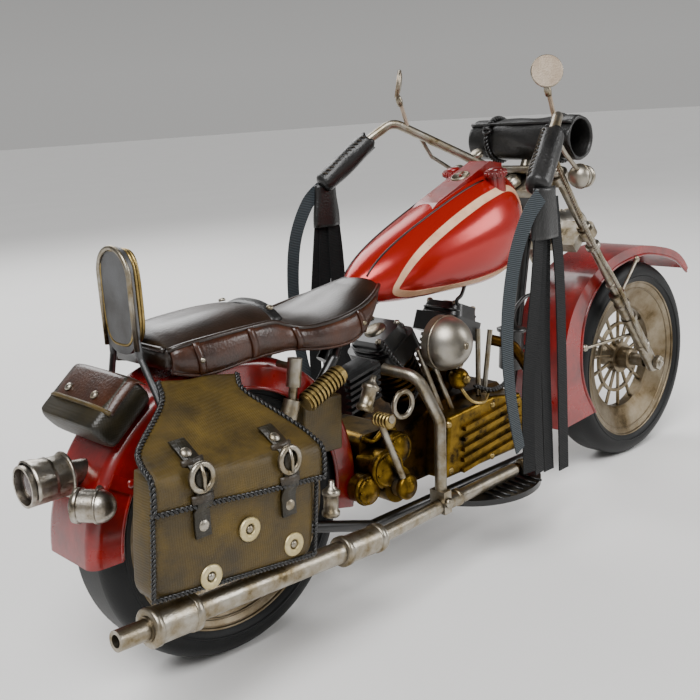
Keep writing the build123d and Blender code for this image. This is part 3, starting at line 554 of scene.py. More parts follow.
@dataclass
class Shape:
    """Corners and faces of a piece that is put together from several closed forms."""

    verts: list[Vector] = field(default_factory=list)
    faces: list[tuple[int, ...]] = field(default_factory=list)

    def grid(self, rows: Sequence[Sequence[Point]], closed: bool = True, caps: bool = True) -> "Shape":
        """Skin rows of points.

        Args:
            rows: Rows of equal length.
            closed: Whether each row is a ring.
            caps: Whether the first and last ring are filled.

        Returns:
            This shape.
        """
        base, wide = len(self.verts), len(rows[0])
        for row in rows:
            self.verts.extend(Vector(p) for p in row)
        span = wide if closed else wide - 1
        for i in range(len(rows) - 1):
            for j in range(span):
                a, b = base + i * wide + j, base + i * wide + (j + 1) % wide
                self.faces.append((a, b, b + wide, a + wide))
        if closed and caps:
            self.faces.append(tuple(base + j for j in reversed(range(wide))))
            self.faces.append(tuple(base + (len(rows) - 1) * wide + j for j in range(wide)))
        return self

    def tube(
        self, path: Sequence[Point], radius: float | Callable[[float], float], sides: int = 12,
        ring: bool = False, squash: float = 1.0,
    ) -> "Shape":
        """Add a tube along a path.

        Args:
            path: Points along the middle.
            radius: The radius, or a function of the share of the way from 0 to 1.
            sides: Points round the tube.
            ring: Whether the path closes on itself.
            squash: Height of the section over its width.

        Returns:
            This shape.
        """
        points = [Vector(p) for p in path]
        count = len(points)
        normal = None
        rows = []
        for i, point in enumerate(points):
            before = points[i - 1] if i or ring else point
            after = points[(i + 1) % count] if i + 1 < count or ring else point
            run = (after - before).normalized()
            if normal is None:
                lead = Vector((0, 0, 1)) if abs(run.z) < 0.9 else Vector((1, 0, 0))
                normal = run.cross(lead).normalized()
            normal = (normal - run * normal.dot(run)).normalized()
            side = run.cross(normal)
            size = radius(i / max(1, count - 1)) if callable(radius) else radius
            turn = round_angles(sides)
            rows.append([
                point + normal * size * math.cos(t) + side * size * squash * math.sin(t) for t in turn
            ])
        if ring:
            rows.append(rows[0])
        return self.grid(rows, caps=not ring)

    def lathe(self, origin: Point, axis: Point, profile: Sequence[tuple[float, float]],
        sides: int = 32) -> "Shape":
        """Spin a profile.

        Args:
            origin: A point on the axis.
            axis: The way the profile's first number runs.
            profile: Distance along the axis and radius of each ring.
            sides: Points round the axis.

        Returns:
            This shape.
        """
        run = Vector(axis).normalized()
        lead = Vector((0, 0, 1)) if abs(run.z) < 0.9 else Vector((1, 0, 0))
        normal = run.cross(lead).normalized()
        side = run.cross(normal)
        rows = []
        for along, radius in profile:
            turn = round_angles(sides)
            middle = Vector(origin) + run * along
            rows.append([middle + (normal * math.cos(t) + side * math.sin(t)) * max(radius,
                0.01) for t in turn])
        return self.grid(rows)

    def rivet(self, place: Point, axis: Point, radius: float, height: float = 0.5) -> "Shape":
        """Add a domed rivet head that stands on a surface.

        Args:
            place: A point on the surface.
            axis: The way out of it.
            radius: Radius of the head.
            height: Height of the dome.

        Returns:
            This shape.
        """
        turn = [math.pi / 2 * k / 4 for k in range(5)]
        dome = [(height * math.sin(t), radius * math.cos(t)) for t in turn]
        return self.lathe(place, axis, [(-0.5, radius), *dome], 14)

    def rope(self, path: Sequence[Point], radius: float, pitch: float, strands: int = 2,
        ring: bool = False) -> "Shape":
        """Add a twisted rope.

        Args:
            path: Points along the middle, close together.
            radius: Radius of the whole rope.
            pitch: Length of one turn.
            strands: Number of strands.
            ring: Whether the path closes on itself.

        Returns:
            This shape.
        """
        points = resample(path, max(8, int(path_length(path) / (pitch / 8))), ring)
        for strand in range(strands):
            start = 2 * math.pi * strand / strands
            turned, gone, normal = [], 0.0, None
            for i, point in enumerate(points):
                after = points[min(i + 1, len(points) - 1)]
                before = points[max(i - 1, 0)]
                run = (after - before).normalized()
                if normal is None:
                    normal = run.cross(Vector((0.3, 0.5, 0.8))).normalized()
                normal = (normal - run * normal.dot(run)).normalized()
                side = run.cross(normal)
                gone += (point - before).length if i else 0
                angle = start + 2 * math.pi * gone / pitch
                turned.append(point + (normal * math.cos(angle) + side * math.sin(angle)) * radius * 0.5)
            self.tube(turned, radius * 0.55, 6)
        return self

    def join(self, other: "Shape") -> "Shape":
        """Take in another shape.

        Args:
            other: The shape to take in.

        Returns:
            This shape.
        """
        base = len(self.verts)
        self.verts.extend(other.verts)
        self.faces.extend(tuple(base + i for i in face) for face in other.faces)
        return self

    def piece(self, name: str, look: Finish, smooth: bool = True) -> bpy.types.Object:
        """Turn the shape into an object."""
        return finish_piece(name, self.verts, self.faces, look, smooth)


def round_angles(count: int) -> list[float]:
    """Angles evenly spaced round a full turn."""
    return [2 * math.pi * k / count for k in range(count)]


def swell(value: float, power: float) -> float:
    """Push a sine or cosine outward, so that a ring of such points squares up."""
    return math.copysign(abs(value) ** power, value)


def path_length(path: Sequence[Point]) -> float:
    """Length of a path of straight runs."""
    return sum((Vector(b) - Vector(a)).length for a, b in zip(path, path[1:]))


def resample(path: Sequence[Point], count: int, ring: bool = False) -> list[Vector]:
    """Points evenly spaced along a path of straight runs.

    Args:
        path: Corners of the path.
        count: Number of points wanted.
        ring: Whether the path closes on itself.

    Returns:
        The points.
    """
    points = [Vector(p) for p in path] + ([Vector(path[0])] if ring else [])
    total = path_length(points)
    out, i, gone = [], 0, 0.0
    for k in range(count):
        want = total * k / (count - 1)
        while i < len(points) - 2 and gone + (points[i + 1] - points[i]).length < want:
            gone += (points[i + 1] - points[i]).length
            i += 1
        run = points[i + 1] - points[i]
        out.append(points[i] + run * min(1, (want - gone) / max(run.length, 1e-6)))
    return out


def curve_through(points: Sequence[Point], steps: int = 10, ring: bool = False) -> list[Vector]:
    """Points on a smooth line that passes through the given ones.

    Args:
        points: Points to pass through.
        steps: Points made between two of them.
        ring: Whether the line closes on itself.

    Returns:
        The points of the line.
    """
    known = [Vector(p) for p in points]
    count = len(known)
    out = []
    for i in range(count if ring else count - 1):
        get = (lambda k: known[k % count]) if ring else (lambda k: known[min(max(k, 0), count - 1)])
        p0, p1, p2, p3 = get(i - 1), get(i), get(i + 1), get(i + 2)
        for s in range(steps):
            t = s / steps
            out.append(0.5 * (2 * p1 + (p2 - p0) * t + (2 * p0 - 5 * p1 + 4 * p2 - p3) * t * t
                              + (3 * p1 - p0 - 3 * p2 + p3) * t**3))
    if not ring:
        out.append(known[-1])
    return out


def blend_rows(stations: Sequence[Sequence[float]], at: float) -> list[float]:
    """Smoothly blend the numbers of stations that are sorted by their first number.

    Args:
        stations: Rows of numbers, the first of which is the place along the piece.
        at: The place wanted.

    Returns:
        The other numbers there.
    """
    i = 0
    while i < len(stations) - 2 and stations[i + 1][0] < at:
        i += 1
    a, b = stations[i], stations[i + 1]
    p, n = stations[max(i - 1, 0)], stations[min(i + 2, len(stations) - 1)]
    t = min(1, max(0, (at - a[0]) / (b[0] - a[0])))
    out = []
    for k in range(1, len(a)):
        slope_a = (b[k] - p[k]) / max(b[0] - p[0], 1e-6) * (b[0] - a[0])
        slope_b = (n[k] - a[k]) / max(n[0] - a[0], 1e-6) * (b[0] - a[0])
        h = (2 * t**3 - 3 * t * t + 1, t**3 - 2 * t * t + t, 3 * t * t - 2 * t**3, t**3 - t * t)
        out.append(h[0] * a[k] + h[1] * slope_a + h[2] * b[k] + h[3] * slope_b)
    return out


def seated(piece: bpy.types.Object, body: Body | None, slot: Slot, *nodes: str) -> bpy.types.Object:
    """Let a piece ride on a body and hide the CAD nodes it stands for.

    Args:
        piece: The object.
        body: The body it moves with; None for a piece that rides on no body.
        slot: The record's material slot; not used.
        nodes: CAD nodes that it replaces.

    Returns:
        The same object.
    """
    if body:
        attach(piece, body.value)
    if nodes:
        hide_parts(*nodes)
    LOG.info("made %s, %d faces", piece.name, len(piece.data.polygons))
    return piece


def soften(piece: bpy.types.Object, levels: int = 1) -> bpy.types.Object:
    """Apply a subdivision surface to a piece.

    Args:
        piece: The object, whose mesh is replaced.
        levels: Number of subdivisions.

    Returns:
        The same object.
    """
    modifier = piece.modifiers.new("soften", "SUBSURF")
    modifier.levels = modifier.render_levels = levels
    bpy.context.view_layer.update()
    evaluated = piece.evaluated_get(bpy.context.evaluated_depsgraph_get())
    mesh = bpy.data.meshes.new_from_object(evaluated)
    piece.modifiers.clear()
    piece.data = mesh
    return piece


def on_node(node: str, start: Point, toward: Point, lift: float = 0.3) -> tuple[Vector, Vector]:
    """Drop a point onto a CAD node.

    Args:
        node: The node's name.
        start: Where the ray starts, in millimetres.
        toward: The way it goes.
        lift: How far off the surface the answer stands.

    Returns:
        The point, lifted off the surface, and the surface's outward direction. Where nothing is hit, the
        start and the way back to it.
    """
    mesh_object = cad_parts[node]
    way = Vector(toward).normalized()
    hit, place, normal, _ = mesh_object.ray_cast(Vector(start) * MM, way)
    if not hit:
        return Vector(start), -way
    normal = normal if normal.dot(way) < 0 else -normal
    return place / MM + normal * lift, normal


def flat_band(rows: Sequence[tuple[Vector, Vector, Vector]], width: float, thick: float) -> Shape:
    """Skin a flat band.

    Args:
        rows: Middle point, crossways direction and outward direction at each step.
        width: Width of the band.
        thick: Its thickness.

    Returns:
        The closed band.
    """
    rings = []
    for middle, across, out in rows:
        half, up = across.normalized() * width / 2, out.normalized() * thick
        rings.append([middle - half - up * 0.5, middle + half - up * 0.5, middle + half * 0.94 + up * 0.5,
                      middle - half * 0.94 + up * 0.5])
    return Shape().grid(rings)


# ------------------------------------------------------------------ the studio


@dataclass
class Studio:
    """Pale floor, soft lights and the camera."""

    eye: Point = (-302.7, -273.2, 181.3)
    azimuth: float = -42.6
    elevation: float = 13.4
    roll: float = -3.6
    lens_mm: float = 50.9
    floor_colour: str = "#F4F3F1"

    def build(self) -> None:
        """Build the floor, the lights and the camera."""
        self.floor()
        self.world()
        self.soft_sun("key_sun", (-0.55, -0.5, 1.0), 2.1)
        self.soft_box("key_box", (-0.6, -0.4, 0.95), 0.55, 7)
        self.soft_box("side_box", (0.7, -0.8, 0.55), 0.45, 6)
        self.soft_box("back_box", (0.2, 0.9, 0.8), 0.7, 8)
        self.camera()

    def floor(self) -> None:
        """A pale floor that runs well past the view."""
        floor = Shape().grid([[(-12000, -12000, -0.05), (12000, -12000, -0.05)],
            [(-12000, 12000, -0.05), (12000, 12000, -0.05)]], closed=False)
        piece = floor.piece("studio_floor", Paper("white_seamless_paper", self.floor_colour))

    def world(self) -> None:
        """A pale sky that darkens to the horizon, for the metal to mirror."""
        world = bpy.data.worlds.new("studio_sky")
        world.use_nodes = True
        bpy.context.scene.world = world
        tree = world.node_tree
        tree.nodes.clear()
        place = tree.nodes.new("ShaderNodeTexCoord").outputs["Generated"]
        height = add_node(tree, "SeparateXYZ", {0: place}).outputs[2]
        share = ramp(tree, height, 0.05, 0.7)
        sky = mix(tree, share, linear("#DAD9D7"), linear("#4A4A4C"))
        glow = add_node(tree, "Background", {0: sky, 1: 0.6})
        out = tree.nodes.new("ShaderNodeOutputWorld")
        tree.links.new(glow.outputs[0], out.inputs[0])

    def soft_sun(self, name: str, toward: Point, strength: float) -> None:
        """Light the whole floor evenly from far away.

        Args:
            name: The light's name.
            toward: The way from the model to the light.
            strength: Its strength in watts a square metre.
        """
        lamp = bpy.data.lights.new(name, "SUN")
        lamp.angle = math.radians(40)
        lamp.energy = strength
        holder = bpy.data.objects.new(name, lamp)
        holder.rotation_euler = (-Vector(toward)).to_track_quat("-Z", "Y").to_euler()
        bpy.context.collection.objects.link(holder)

    def soft_box(self, name: str, place: Point, size: float, power: float) -> None:
        """Hang a square soft light that looks at the model.

        Args:
            name: The light's name.
            place: Where it hangs, in metres.
            size: Length of its side, in metres.
            power: Its power in watts.
        """
        lamp = bpy.data.lights.new(name, "AREA")
        lamp.size = size
        lamp.energy = power
        holder = bpy.data.objects.new(name, lamp)
        holder.location = place
        way = Vector((0, 0, 0.08)) - Vector(place)
        holder.rotation_euler = way.to_track_quat("-Z", "Y").to_euler()
        bpy.context.collection.objects.link(holder)

    def camera(self) -> None:
        """Set the camera at the viewing angle, with its slight roll."""
        turn, rise, roll = (math.radians(a) for a in (self.azimuth, self.elevation, self.roll))
        back = Vector((math.sin(turn) * math.cos(rise), -math.cos(turn) * math.cos(rise), math.sin(rise)))
        right = Vector((math.cos(turn), math.sin(turn), 0))
        up = back.cross(right)
        across = right * math.cos(roll) + up * math.sin(roll)
        upward = up * math.cos(roll) - right * math.sin(roll)
        lens = bpy.data.cameras.new("camera")
        lens.lens = self.lens_mm
        lens.sensor_width = 36
        lens.clip_start = 0.01
        eye = bpy.data.objects.new("camera", lens)
        columns = Matrix((across, upward, back)).transposed().to_4x4()
        eye.matrix_world = Matrix.Translation(Vector(self.eye) * MM) @ columns
        bpy.context.collection.objects.link(eye)
        bpy.context.scene.camera = eye


def dress_nodes() -> None:
    """Give every CAD node its finish."""
    for look, names in NODE_FINISH.items():
        for name in names:
            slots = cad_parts[name].data.materials
            slots.clear()
            slots.append(look.material())


# ------------------------------------------------------------------ tank


@dataclass
class Tank:
    """Trim of the teardrop tank: lining stripe, centre seam, filler details."""

    stripe_mm: float = 2.5
    stripe_route: tuple[Point, ...] = ((-36, 114.5), (-34.5, 119.5), (-29, 125), (-20.7, 130.2),
        (-8.9, 135.8), (3.5, 140.8), (15.8, 144.8), (29, 147.2), (36.5, 144.6), (39.5, 138), (40, 128),
        (37.5, 119), (30, 114.2), (14, 111.6), (0, 111), (-16, 111.4), (-28, 112),)

    def build(self) -> None:
        """Build all of the trim."""
        for side, label in SIDES:
            self.stripe(side, label)
        self.seam()
        self.fittings()

    def stripe(self, side: int, label: str) -> None:
        """Lay the cream lining loop on one flank.

        Args:
            side: -1 for the right, 1 for the left.
            label: Name of the side.
        """
        line = curve_through([(x, 60 * side, z) for x, z in self.stripe_route], 8, ring=True)
        rows = []
        for i, point in enumerate(line):
            run = (line[(i + 1) % len(line)] - line[i - 1]).normalized()
            across = Vector((-run.z, 0, run.x))
            ends = [on_node("fuel_tank", point + across * s * self.stripe_mm / 2, (0, -side, 0),
                0.25) for s in (-1, 1)]
            inner = [place - normal * 0.6 for place, normal in ends]
            rows.append([ends[0][0], ends[1][0], inner[1], inner[0]])
        shape = Shape().grid([*rows, rows[0]], caps=False)
        seated(shape.piece(f"tank_stripe_{label}", CREAM, smooth=False), Body.CHASSIS, Slot.RED_ENAMEL)

    def seam(self) -> None:
        """Dark joints where the crown strip meets the two flanks, and the seam down the front."""
        shape = Shape()
        for side in (-1, 1):
            line = [on_node("fuel_tank", (x, side * (6.2 + 0.03 * (x + 40)), 200), (0, 0, -1), 0.05)[0]
                    for x in range(-46, 24, 2)]
            shape.tube(line, 0.42, 8)
        line = [on_node("fuel_tank", (80, 0, z), (-1, 0, 0), 0.1)[0] for z in range(150, 122, -3)]
        shape.tube(line, 0.5, 8)
        seated(shape.piece("tank_joints", BLACK), Body.CHASSIS, Slot.BLACK_ENAMEL)

    def fittings(self) -> None:
        """Milled filler caps' rims, the panel's bezel and its needle."""
        caps = Shape()
        for side in (-1, 1):
            axis = Vector((-1, 0, 9)).normalized()
            base = Vector((26.1, side * 11.5, 153.6))
            for k in range(16):
                turn = 2 * math.pi * k / 16
                out = Vector((math.cos(turn), math.sin(turn), 0.11 * math.cos(turn)))
                foot = base + out * 4.4
                caps.tube([foot - axis * 0.9, foot + axis * 0.9], 0.45, 6)
            caps.lathe(base + axis * 1.5, axis, [(-0.4, 3.2), (0.4, 3.1), (0.9, 2.2), (1.1, 0.5)], 24)
        seated(caps.piece("filler_cap_milling", RED), Body.CHASSIS, Slot.RED_ENAMEL)
        dial = Shape()
        slope = Vector((34, 0, 14)).normalized()
        out = Vector((-slope.z, 0, slope.x))
        middle = Vector((17, 0, 153.3))
        dial.lathe(middle - out * 0.3, out,
            [(-0.8, 4.2), (0.3, 4.2), (0.7, 3.8), (0.8, 3.4), (0.35, 3.2), (0.3, 0.2)], 32)
        seated(dial.piece("dial_bezel", TIN), Body.CHASSIS, Slot.BRIGHT_TIN)
        needle = Shape().tube([middle + out * 0.5 - slope * 0.4, middle + out * 0.5 + slope * 2.4], 0.22, 6)
        needle.rivet(middle + out * 0.35, out, 0.6, 0.5)
        seated(needle.piece("dial_needle", RED), Body.CHASSIS, Slot.RED_ENAMEL)


# ------------------------------------------------------------------ seat and leather goods


@dataclass
class Saddle:
    """Two-level seat of brown hide with rolled edges, its nose over the tank and flaps at its sides."""

    # Place ahead, height of the crown, half width, height of the edge, crown sharpness
    stations: tuple[Point, ...] = ((-143, 116.2, 15.5, 113.4), (-138, 119.4, 17.4, 114.6),
        (-125, 120.8, 18.4, 115.4), (-110, 121.2, 18.2, 115.6), (-101, 120.2, 17.0, 115.0),
        (-95, 117.2, 15.6, 112.8), (-88, 113.4, 16.2, 110.6), (-80, 112.6, 18.0, 110.6),
        (-70, 114.6, 19.0, 111.8), (-60, 117.8, 17.4, 113.6), (-51, 120.2, 13.6, 115.4),
        (-44, 121.6, 9.6, 117.4), (-39.5, 121.4, 5.0, 118.6),)
    floor_z: float = 107.2

    def section(self, x: float) -> list[Vector]:
        """Ring of points round the seat at one place.

        Args:
            x: The place ahead.

        Returns:
            The ring, from the right edge over the crown to the left edge and back below.
        """
        crown, half, edge = blend_rows(self.stations, x)
        base = max(self.floor_z, edge - 6.5)
        ring = []
        for k in range(25):
            t = -1 + k / 12
            dish = 0.5 * math.exp(-((t / 0.3) ** 2)) if x < -52 else 0
            z = edge + (crown - edge) * (1 - abs(t) ** 2.6) - dish
            ring.append(Vector((x, half * t, z)))
        for z_share, pull in ((0.35, 1.01), (0.7, 0.97), (1.0, 0.9)):
            ring.append(Vector((x, half * pull, edge + (base - edge) * z_share)))
        for t in (0.5, 0, -0.5):
            ring.append(Vector((x, half * t * 0.9, base)))
        for z_share, pull in ((1.0, 0.9), (0.7, 0.97), (0.35, 1.01)):
            ring.append(Vector((x, -half * pull, edge + (base - edge) * z_share)))
        return ring

    def edge_line(self, side: int, drop: float = 0.0) -> list[Vector]:
        """Points along the seat's edge on one side.

        Args:
            side: -1 for the right, 1 for the left.
            drop: How far below the edge.

        Returns:
            The points, from the tail to the nose.
        """
        line = []
        x = -142.5
        while x < -40:
            _, half, edge = blend_rows(self.stations, x)
            line.append(Vector((x, side * (half + 0.1), edge - drop)))
            x += 2.2
        return line

    def build(self) -> None:
        """Build the hide, its rolled edges, side skirts, straps and studs."""
        steps = 64
        first, last = self.stations[0][0], self.stations[-1][0]
        rows = [self.section(first + (last - first) * (k / (steps - 1))) for k in range(steps)]
        hide = Shape().grid(rows).piece("seat_hide", SEAT_HIDE)
        self.crease(hide)
        seated(hide, Body.CHASSIS, Slot.BROWN_LEATHER, "seat")
        welt = Shape()
        for side in (-1, 1):
            welt.tube(self.edge_line(side), 0.95, 8)
        tail = [Vector((-143.2, y, 113.6 + 0.4 * math.cos(y / 15))) for y in range(-15, 16, 2)]
        welt.tube(tail, 0.95, 8)
        seated(welt.piece("seat_welt", SEAT_HIDE), Body.CHASSIS, Slot.BROWN_LEATHER)
        self.skirts()
        self.buckled_strap()

    def crease(self, hide: bpy.types.Object) -> None:
        """Work shallow wrinkles and thumbed hollows into the hide.

        Args:
            hide: The seat hide.
        """
        draw = random.Random(7)
        waves = [(draw.uniform(0.04, 0.16), draw.uniform(0.05, 0.3), draw.uniform(0, 6.3)) for _ in range(7)]
        for vertex in hide.data.vertices:
            x, y, z = vertex.co / MM
            lift = sum(math.sin(fx * x + fy * y + phase) for fx, fy, phase in waves) * 0.1
            if z > self.floor_z + 3:
                vertex.co.z += lift * MM

    def hem_height(self, x: float) -> float:
        """Lower edge of the side panel at one place ahead."""
        return blend_rows(((-142, 106.6), (-132, 104.2), (-112, 105.2), (-96, 104.6), (-82, 102.2),
            (-68, 102.4), (-58, 106.2), (-50, 111.4)), x)[0]

    def panel_point(self, x: float, side: int, share: float, proud: float = 0.0) -> Vector:
        """A point on the side panel.

        Args:
            x: Place ahead.
            side: -1 for the right, 1 for the left.
            share: From 0 at the welt to 1 at the hem.
            proud: How far out of the panel.

        Returns:
            The point.
        """
        _, half, edge = blend_rows(self.stations, x)
        belly = 1.2 * math.sin(math.pi * share) + 0.2 * math.sin(0.2 * x + 2 * share)
        height = edge - 0.5 + (self.hem_height(x) - edge + 0.5) * share
        return Vector((x, side * (half + 0.3 + belly + proud), height))

    def skirts(self) -> None:
        """Side panels of chestnut hide with upright straps, from the tail to the nose."""
        for side, label in SIDES:
            rows = []
            for k in range(45):
                x = -142 + 92 * k / 44
                outer = [self.panel_point(x, side, j / 6, 0.7) for j in range(7)]
                inner = [self.panel_point(x, side, j / 6, -0.5) for j in reversed(range(7))]
                rows.append([*outer, *inner])
            panel = Shape().grid(rows).piece(f"seat_side_panel_{label}", PANEL_HIDE)
            seated(panel, Body.CHASSIS, Slot.BROWN_LEATHER)
            straps = Shape()
            for x in (-134, -113, -92, -64):
                run = [(self.panel_point(x + 1.5 * j / 8, side, -0.05 + 1.02 * j / 8, 1.1), Vector((1, 0, 0)),
                        Vector((0, side, 0))) for j in range(9)]
                straps.join(flat_band(run, 2.6, 0.8))
            straps.tube([self.panel_point(-142 + 92 * k / 44, side, 1.0, 0.2) for k in range(45)], 0.7, 6)
            seated(straps.piece(f"seat_side_straps_{label}", PANEL_HIDE), Body.CHASSIS, Slot.BROWN_LEATHER)

    def buckled_strap(self) -> None:
        """A strap across the waist of the seat, with the studs that hold it."""
        rows = []
        x = -99.5
        _, half, edge = blend_rows(self.stations, x)
        crown = blend_rows(self.stations, x)[0]
        for k in range(21):
            t = -1 + k / 10
            z = edge + (crown - edge) * (1 - abs(t) ** 2.6) + 0.5
            rows.append((Vector((x, half * t, z)), Vector((1, 0, 0.2)), Vector((0, 0.25 * t, 1))))
        strap = flat_band(rows, 5.2, 0.9)
        seated(strap.piece("seat_strap", BLACK_HIDE), Body.CHASSIS, Slot.BLACK_LEATHER)
        studs = Shape()
        for side in (-1, 1):
            for x in (-134, -64):
                studs.rivet(self.panel_point(x + 0.8, side, 0.5, 1.5), (0, side, 0), 1.0, 0.7)
            studs.rivet((-99.5, side * 13.6, blend_rows(self.stations, -99.5)[0] - 0.1), (0, 0.2 * side, 1),
                1.3, 0.8)
        seated(studs.piece("seat_studs", TIN), Body.CHASSIS, Slot.BRIGHT_TIN)


@dataclass
class Saddlebag:
    """Canvas-grained hide bag on the right: shell, folded flap, braided edges, straps and washers."""

    origin: Point = (-142.5, 0, 89)
    tilt: float = 6.8
    half: float = 29.5
    face_y: float = -49.5
    back_y: float = -37
    strap_places: tuple[Point, ...] = ((-159, 86), (-127.6, 82))
    washer_places: tuple[Point, ...] = ((-142.4, 64), (-126.4, 53.5), (-157.4, 54.5))

    def place(self, along: float, y: float, height: float) -> Vector:
        """A point of the bag, whose own axes are tilted with its drop.

        Args:
            along: Ahead of the bag's middle.
            y: Sideways, in the row frame.
            height: Above the bag's rim line.

        Returns:
            The point in the row frame.
        """
        turn = math.radians(self.tilt)
        return Vector(self.origin) + Vector((along * math.cos(turn) + height * math.sin(turn), y,
            height * math.cos(turn) - along * math.sin(turn)))

    def build(self) -> None:
        """Build the bag and everything that is sewn or riveted to it."""
        self.shell()
        self.flap()
        self.braids()
        self.straps()
        self.fittings()

    def shell(self) -> None:
        """Lofted shell that bellies out below and narrows at the top."""
        rows = []
        for k in range(19):
            t = k / 18
            height = -40 + 36 * t
            belly = math.sin(math.pi * min(1, 0.12 + 0.9 * t)) * 0.9
            half = self.half - 0.4 + 0.6 * math.sin(math.pi * t) - (1.6 * max(0, 0.08 - t) / 0.08)
            front = self.face_y - belly * 0.7 + (1.4 * max(0, 0.08 - t) / 0.08)
            ring = []
            for i in range(40):
                turn = 2 * math.pi * i / 40
                c, s = math.cos(turn), math.sin(turn)
                along = half * swell(c, 0.18)
                mid, deep = (front + self.back_y) / 2, (self.back_y - front) / 2
                sag = 0.5 * math.sin(3 * math.pi * t) * (1 - abs(c)) * (s < 0)
                ring.append(self.place(along, mid + deep * swell(s, 0.3) - sag, height))
            rows.append(ring)
        shell = Shape().grid(rows).piece("saddlebag_shell", OLIVE)
        seated(shell, Body.CHASSIS, Slot.OLIVE_LEATHER, "saddlebag")

    def flap_edge(self, share: float) -> tuple[float, float, float]:
        """Profile of the flap from the seat to its hem: sideways place, height and half width.

        Args:
            share: From 0 at the seat to 1 at the hem.

        Returns:
            Sideways place, height above the rim line and half width there.
        """
        y, height, half = blend_rows(
            ((0, -19.5, 15.4, 15), (0.3, -27, 10.5, 15.5), (0.62, -40.4, 1.0, 28.6), (0.74, -46, -2.0, 30.6),
             (0.84, -50.4, -4.6, 31), (1, -51.4, -13.5, 31)), share)
        return y, height, half

    def flap(self) -> None:
        """One curved sheet that folds over the bag's top and runs up to the seat."""
        steps, wide = 34, 26
        upper, lower = [], []
        for i in range(steps):
            share = i / (steps - 1)
            y, height, half = self.flap_edge(share)
            y2, height2, _ = self.flap_edge(min(1, share + 0.02))
            run = Vector((0, y2 - y, height2 - height)) if share < 1 else Vector((0, 0, -1))
            out = Vector((0, run.z, -run.y)).normalized()
            out = out if out.z > -0.1 else -out
            top_row, low_row = [], []
            for k in range(wide):
                t = -1 + 2 * k / (wide - 1)
                shift = 0.0 if share > 0.6 else 7.5 * (1 - share / 0.6)
                ripple = 0.35 * math.sin(5 * t + 7 * share) + 0.5 * (1 - t * t) * math.sin(math.pi * share)
                point = self.place(half * t + shift * 0.8, y, height) + out * ripple
                top_row.append(point + out * 0.6)
                low_row.append(point - out * 0.5)
            upper.append(top_row)
            lower.append(low_row)
        rows = [top + list(reversed(low)) for top, low in zip(upper, lower)]
        self.hem = [row[0] for row in upper], [row[-1] for row in upper], upper[-1]
        flap = Shape().grid(rows).piece("bag_flap_sheet", OLIVE)
        seated(flap, Body.CHASSIS, Slot.OLIVE_LEATHER, "bag_flap")

    def braids(self) -> None:
        """Plaited cord sewn round the flap's edges and the bag's rim."""
        rear, front, hem = self.hem
        edge = [*rear, *hem[1:-1], *reversed(front)]
        plait = Shape().rope(edge, 0.95, 3.2, 2)
        bottom = [self.place(-self.half - 0.2, self.face_y, -14),
            self.place(-self.half - 0.1, self.face_y - 0.2, -27),
            *[self.place(self.half * s / 8, self.face_y - 0.1, -39) for s in range(-8, 9)],
            self.place(self.half + 0.1, self.face_y - 0.2, -27),
            self.place(self.half + 0.2, self.face_y, -14)]
        plait.rope(bottom, 0.8, 2.8, 2)
        seated(plait.piece("bag_plaited_edges", BLACK_HIDE), Body.CHASSIS, Slot.BLACK_LEATHER)

    def strap_y(self, x: float, z: float) -> float:
        """How far out a strap lies, as it comes over the fold of the flap.

        Args:
            x: Place ahead.
            z: Height.

        Returns:
            The sideways place.
        """
        above = z - (self.origin[2] - (x - self.origin[0]) * math.tan(math.radians(self.tilt)))
        return self.face_y - 3.1 + 1.45 * max(0, above + 4)

    def straps(self) -> None:
        """Two closing straps over the flap's hem, with loops beside their buckles."""
        draw = random.Random(3)
        for number, (x, z) in enumerate(self.strap_places):
            rows = []
            for k in range(15):
                t = k / 14
                height = z + 8.5 - 27 * t
                proud = self.strap_y(x, height) + 2.0 * min(1, max(0, (t - 0.62) / 0.1))
                bend = 0.5 * math.sin(4 * t + draw.uniform(0, 1))
                rows.append((Vector((x + bend + 0.8 * t, proud, height)), Vector((1, 0, 0)), Vector(RIGHT)))
            strap = flat_band(rows, 5.4, 0.9)
            piece = strap.piece(f"bag_strap_{number}", DARK_OLIVE)
            seated(piece, Body.CHASSIS, Slot.OLIVE_LEATHER)
            loops = Shape()
            for drop in (3.4, -6.2):
                box_row = [(Vector((x + s * 3.6, self.strap_y(x, z + drop) - 0.7 + 0.8 * abs(s), z + drop)),
                    Vector((0, 0, 1)), Vector(RIGHT)) for s in (-1, -0.6, 0, 0.6, 1)]
                loops.join(flat_band(box_row, 2.6, 0.8))
            seated(loops.piece(f"bag_strap_loops_{number}", DARK_STRAP), Body.CHASSIS, Slot.BLACK_LEATHER)

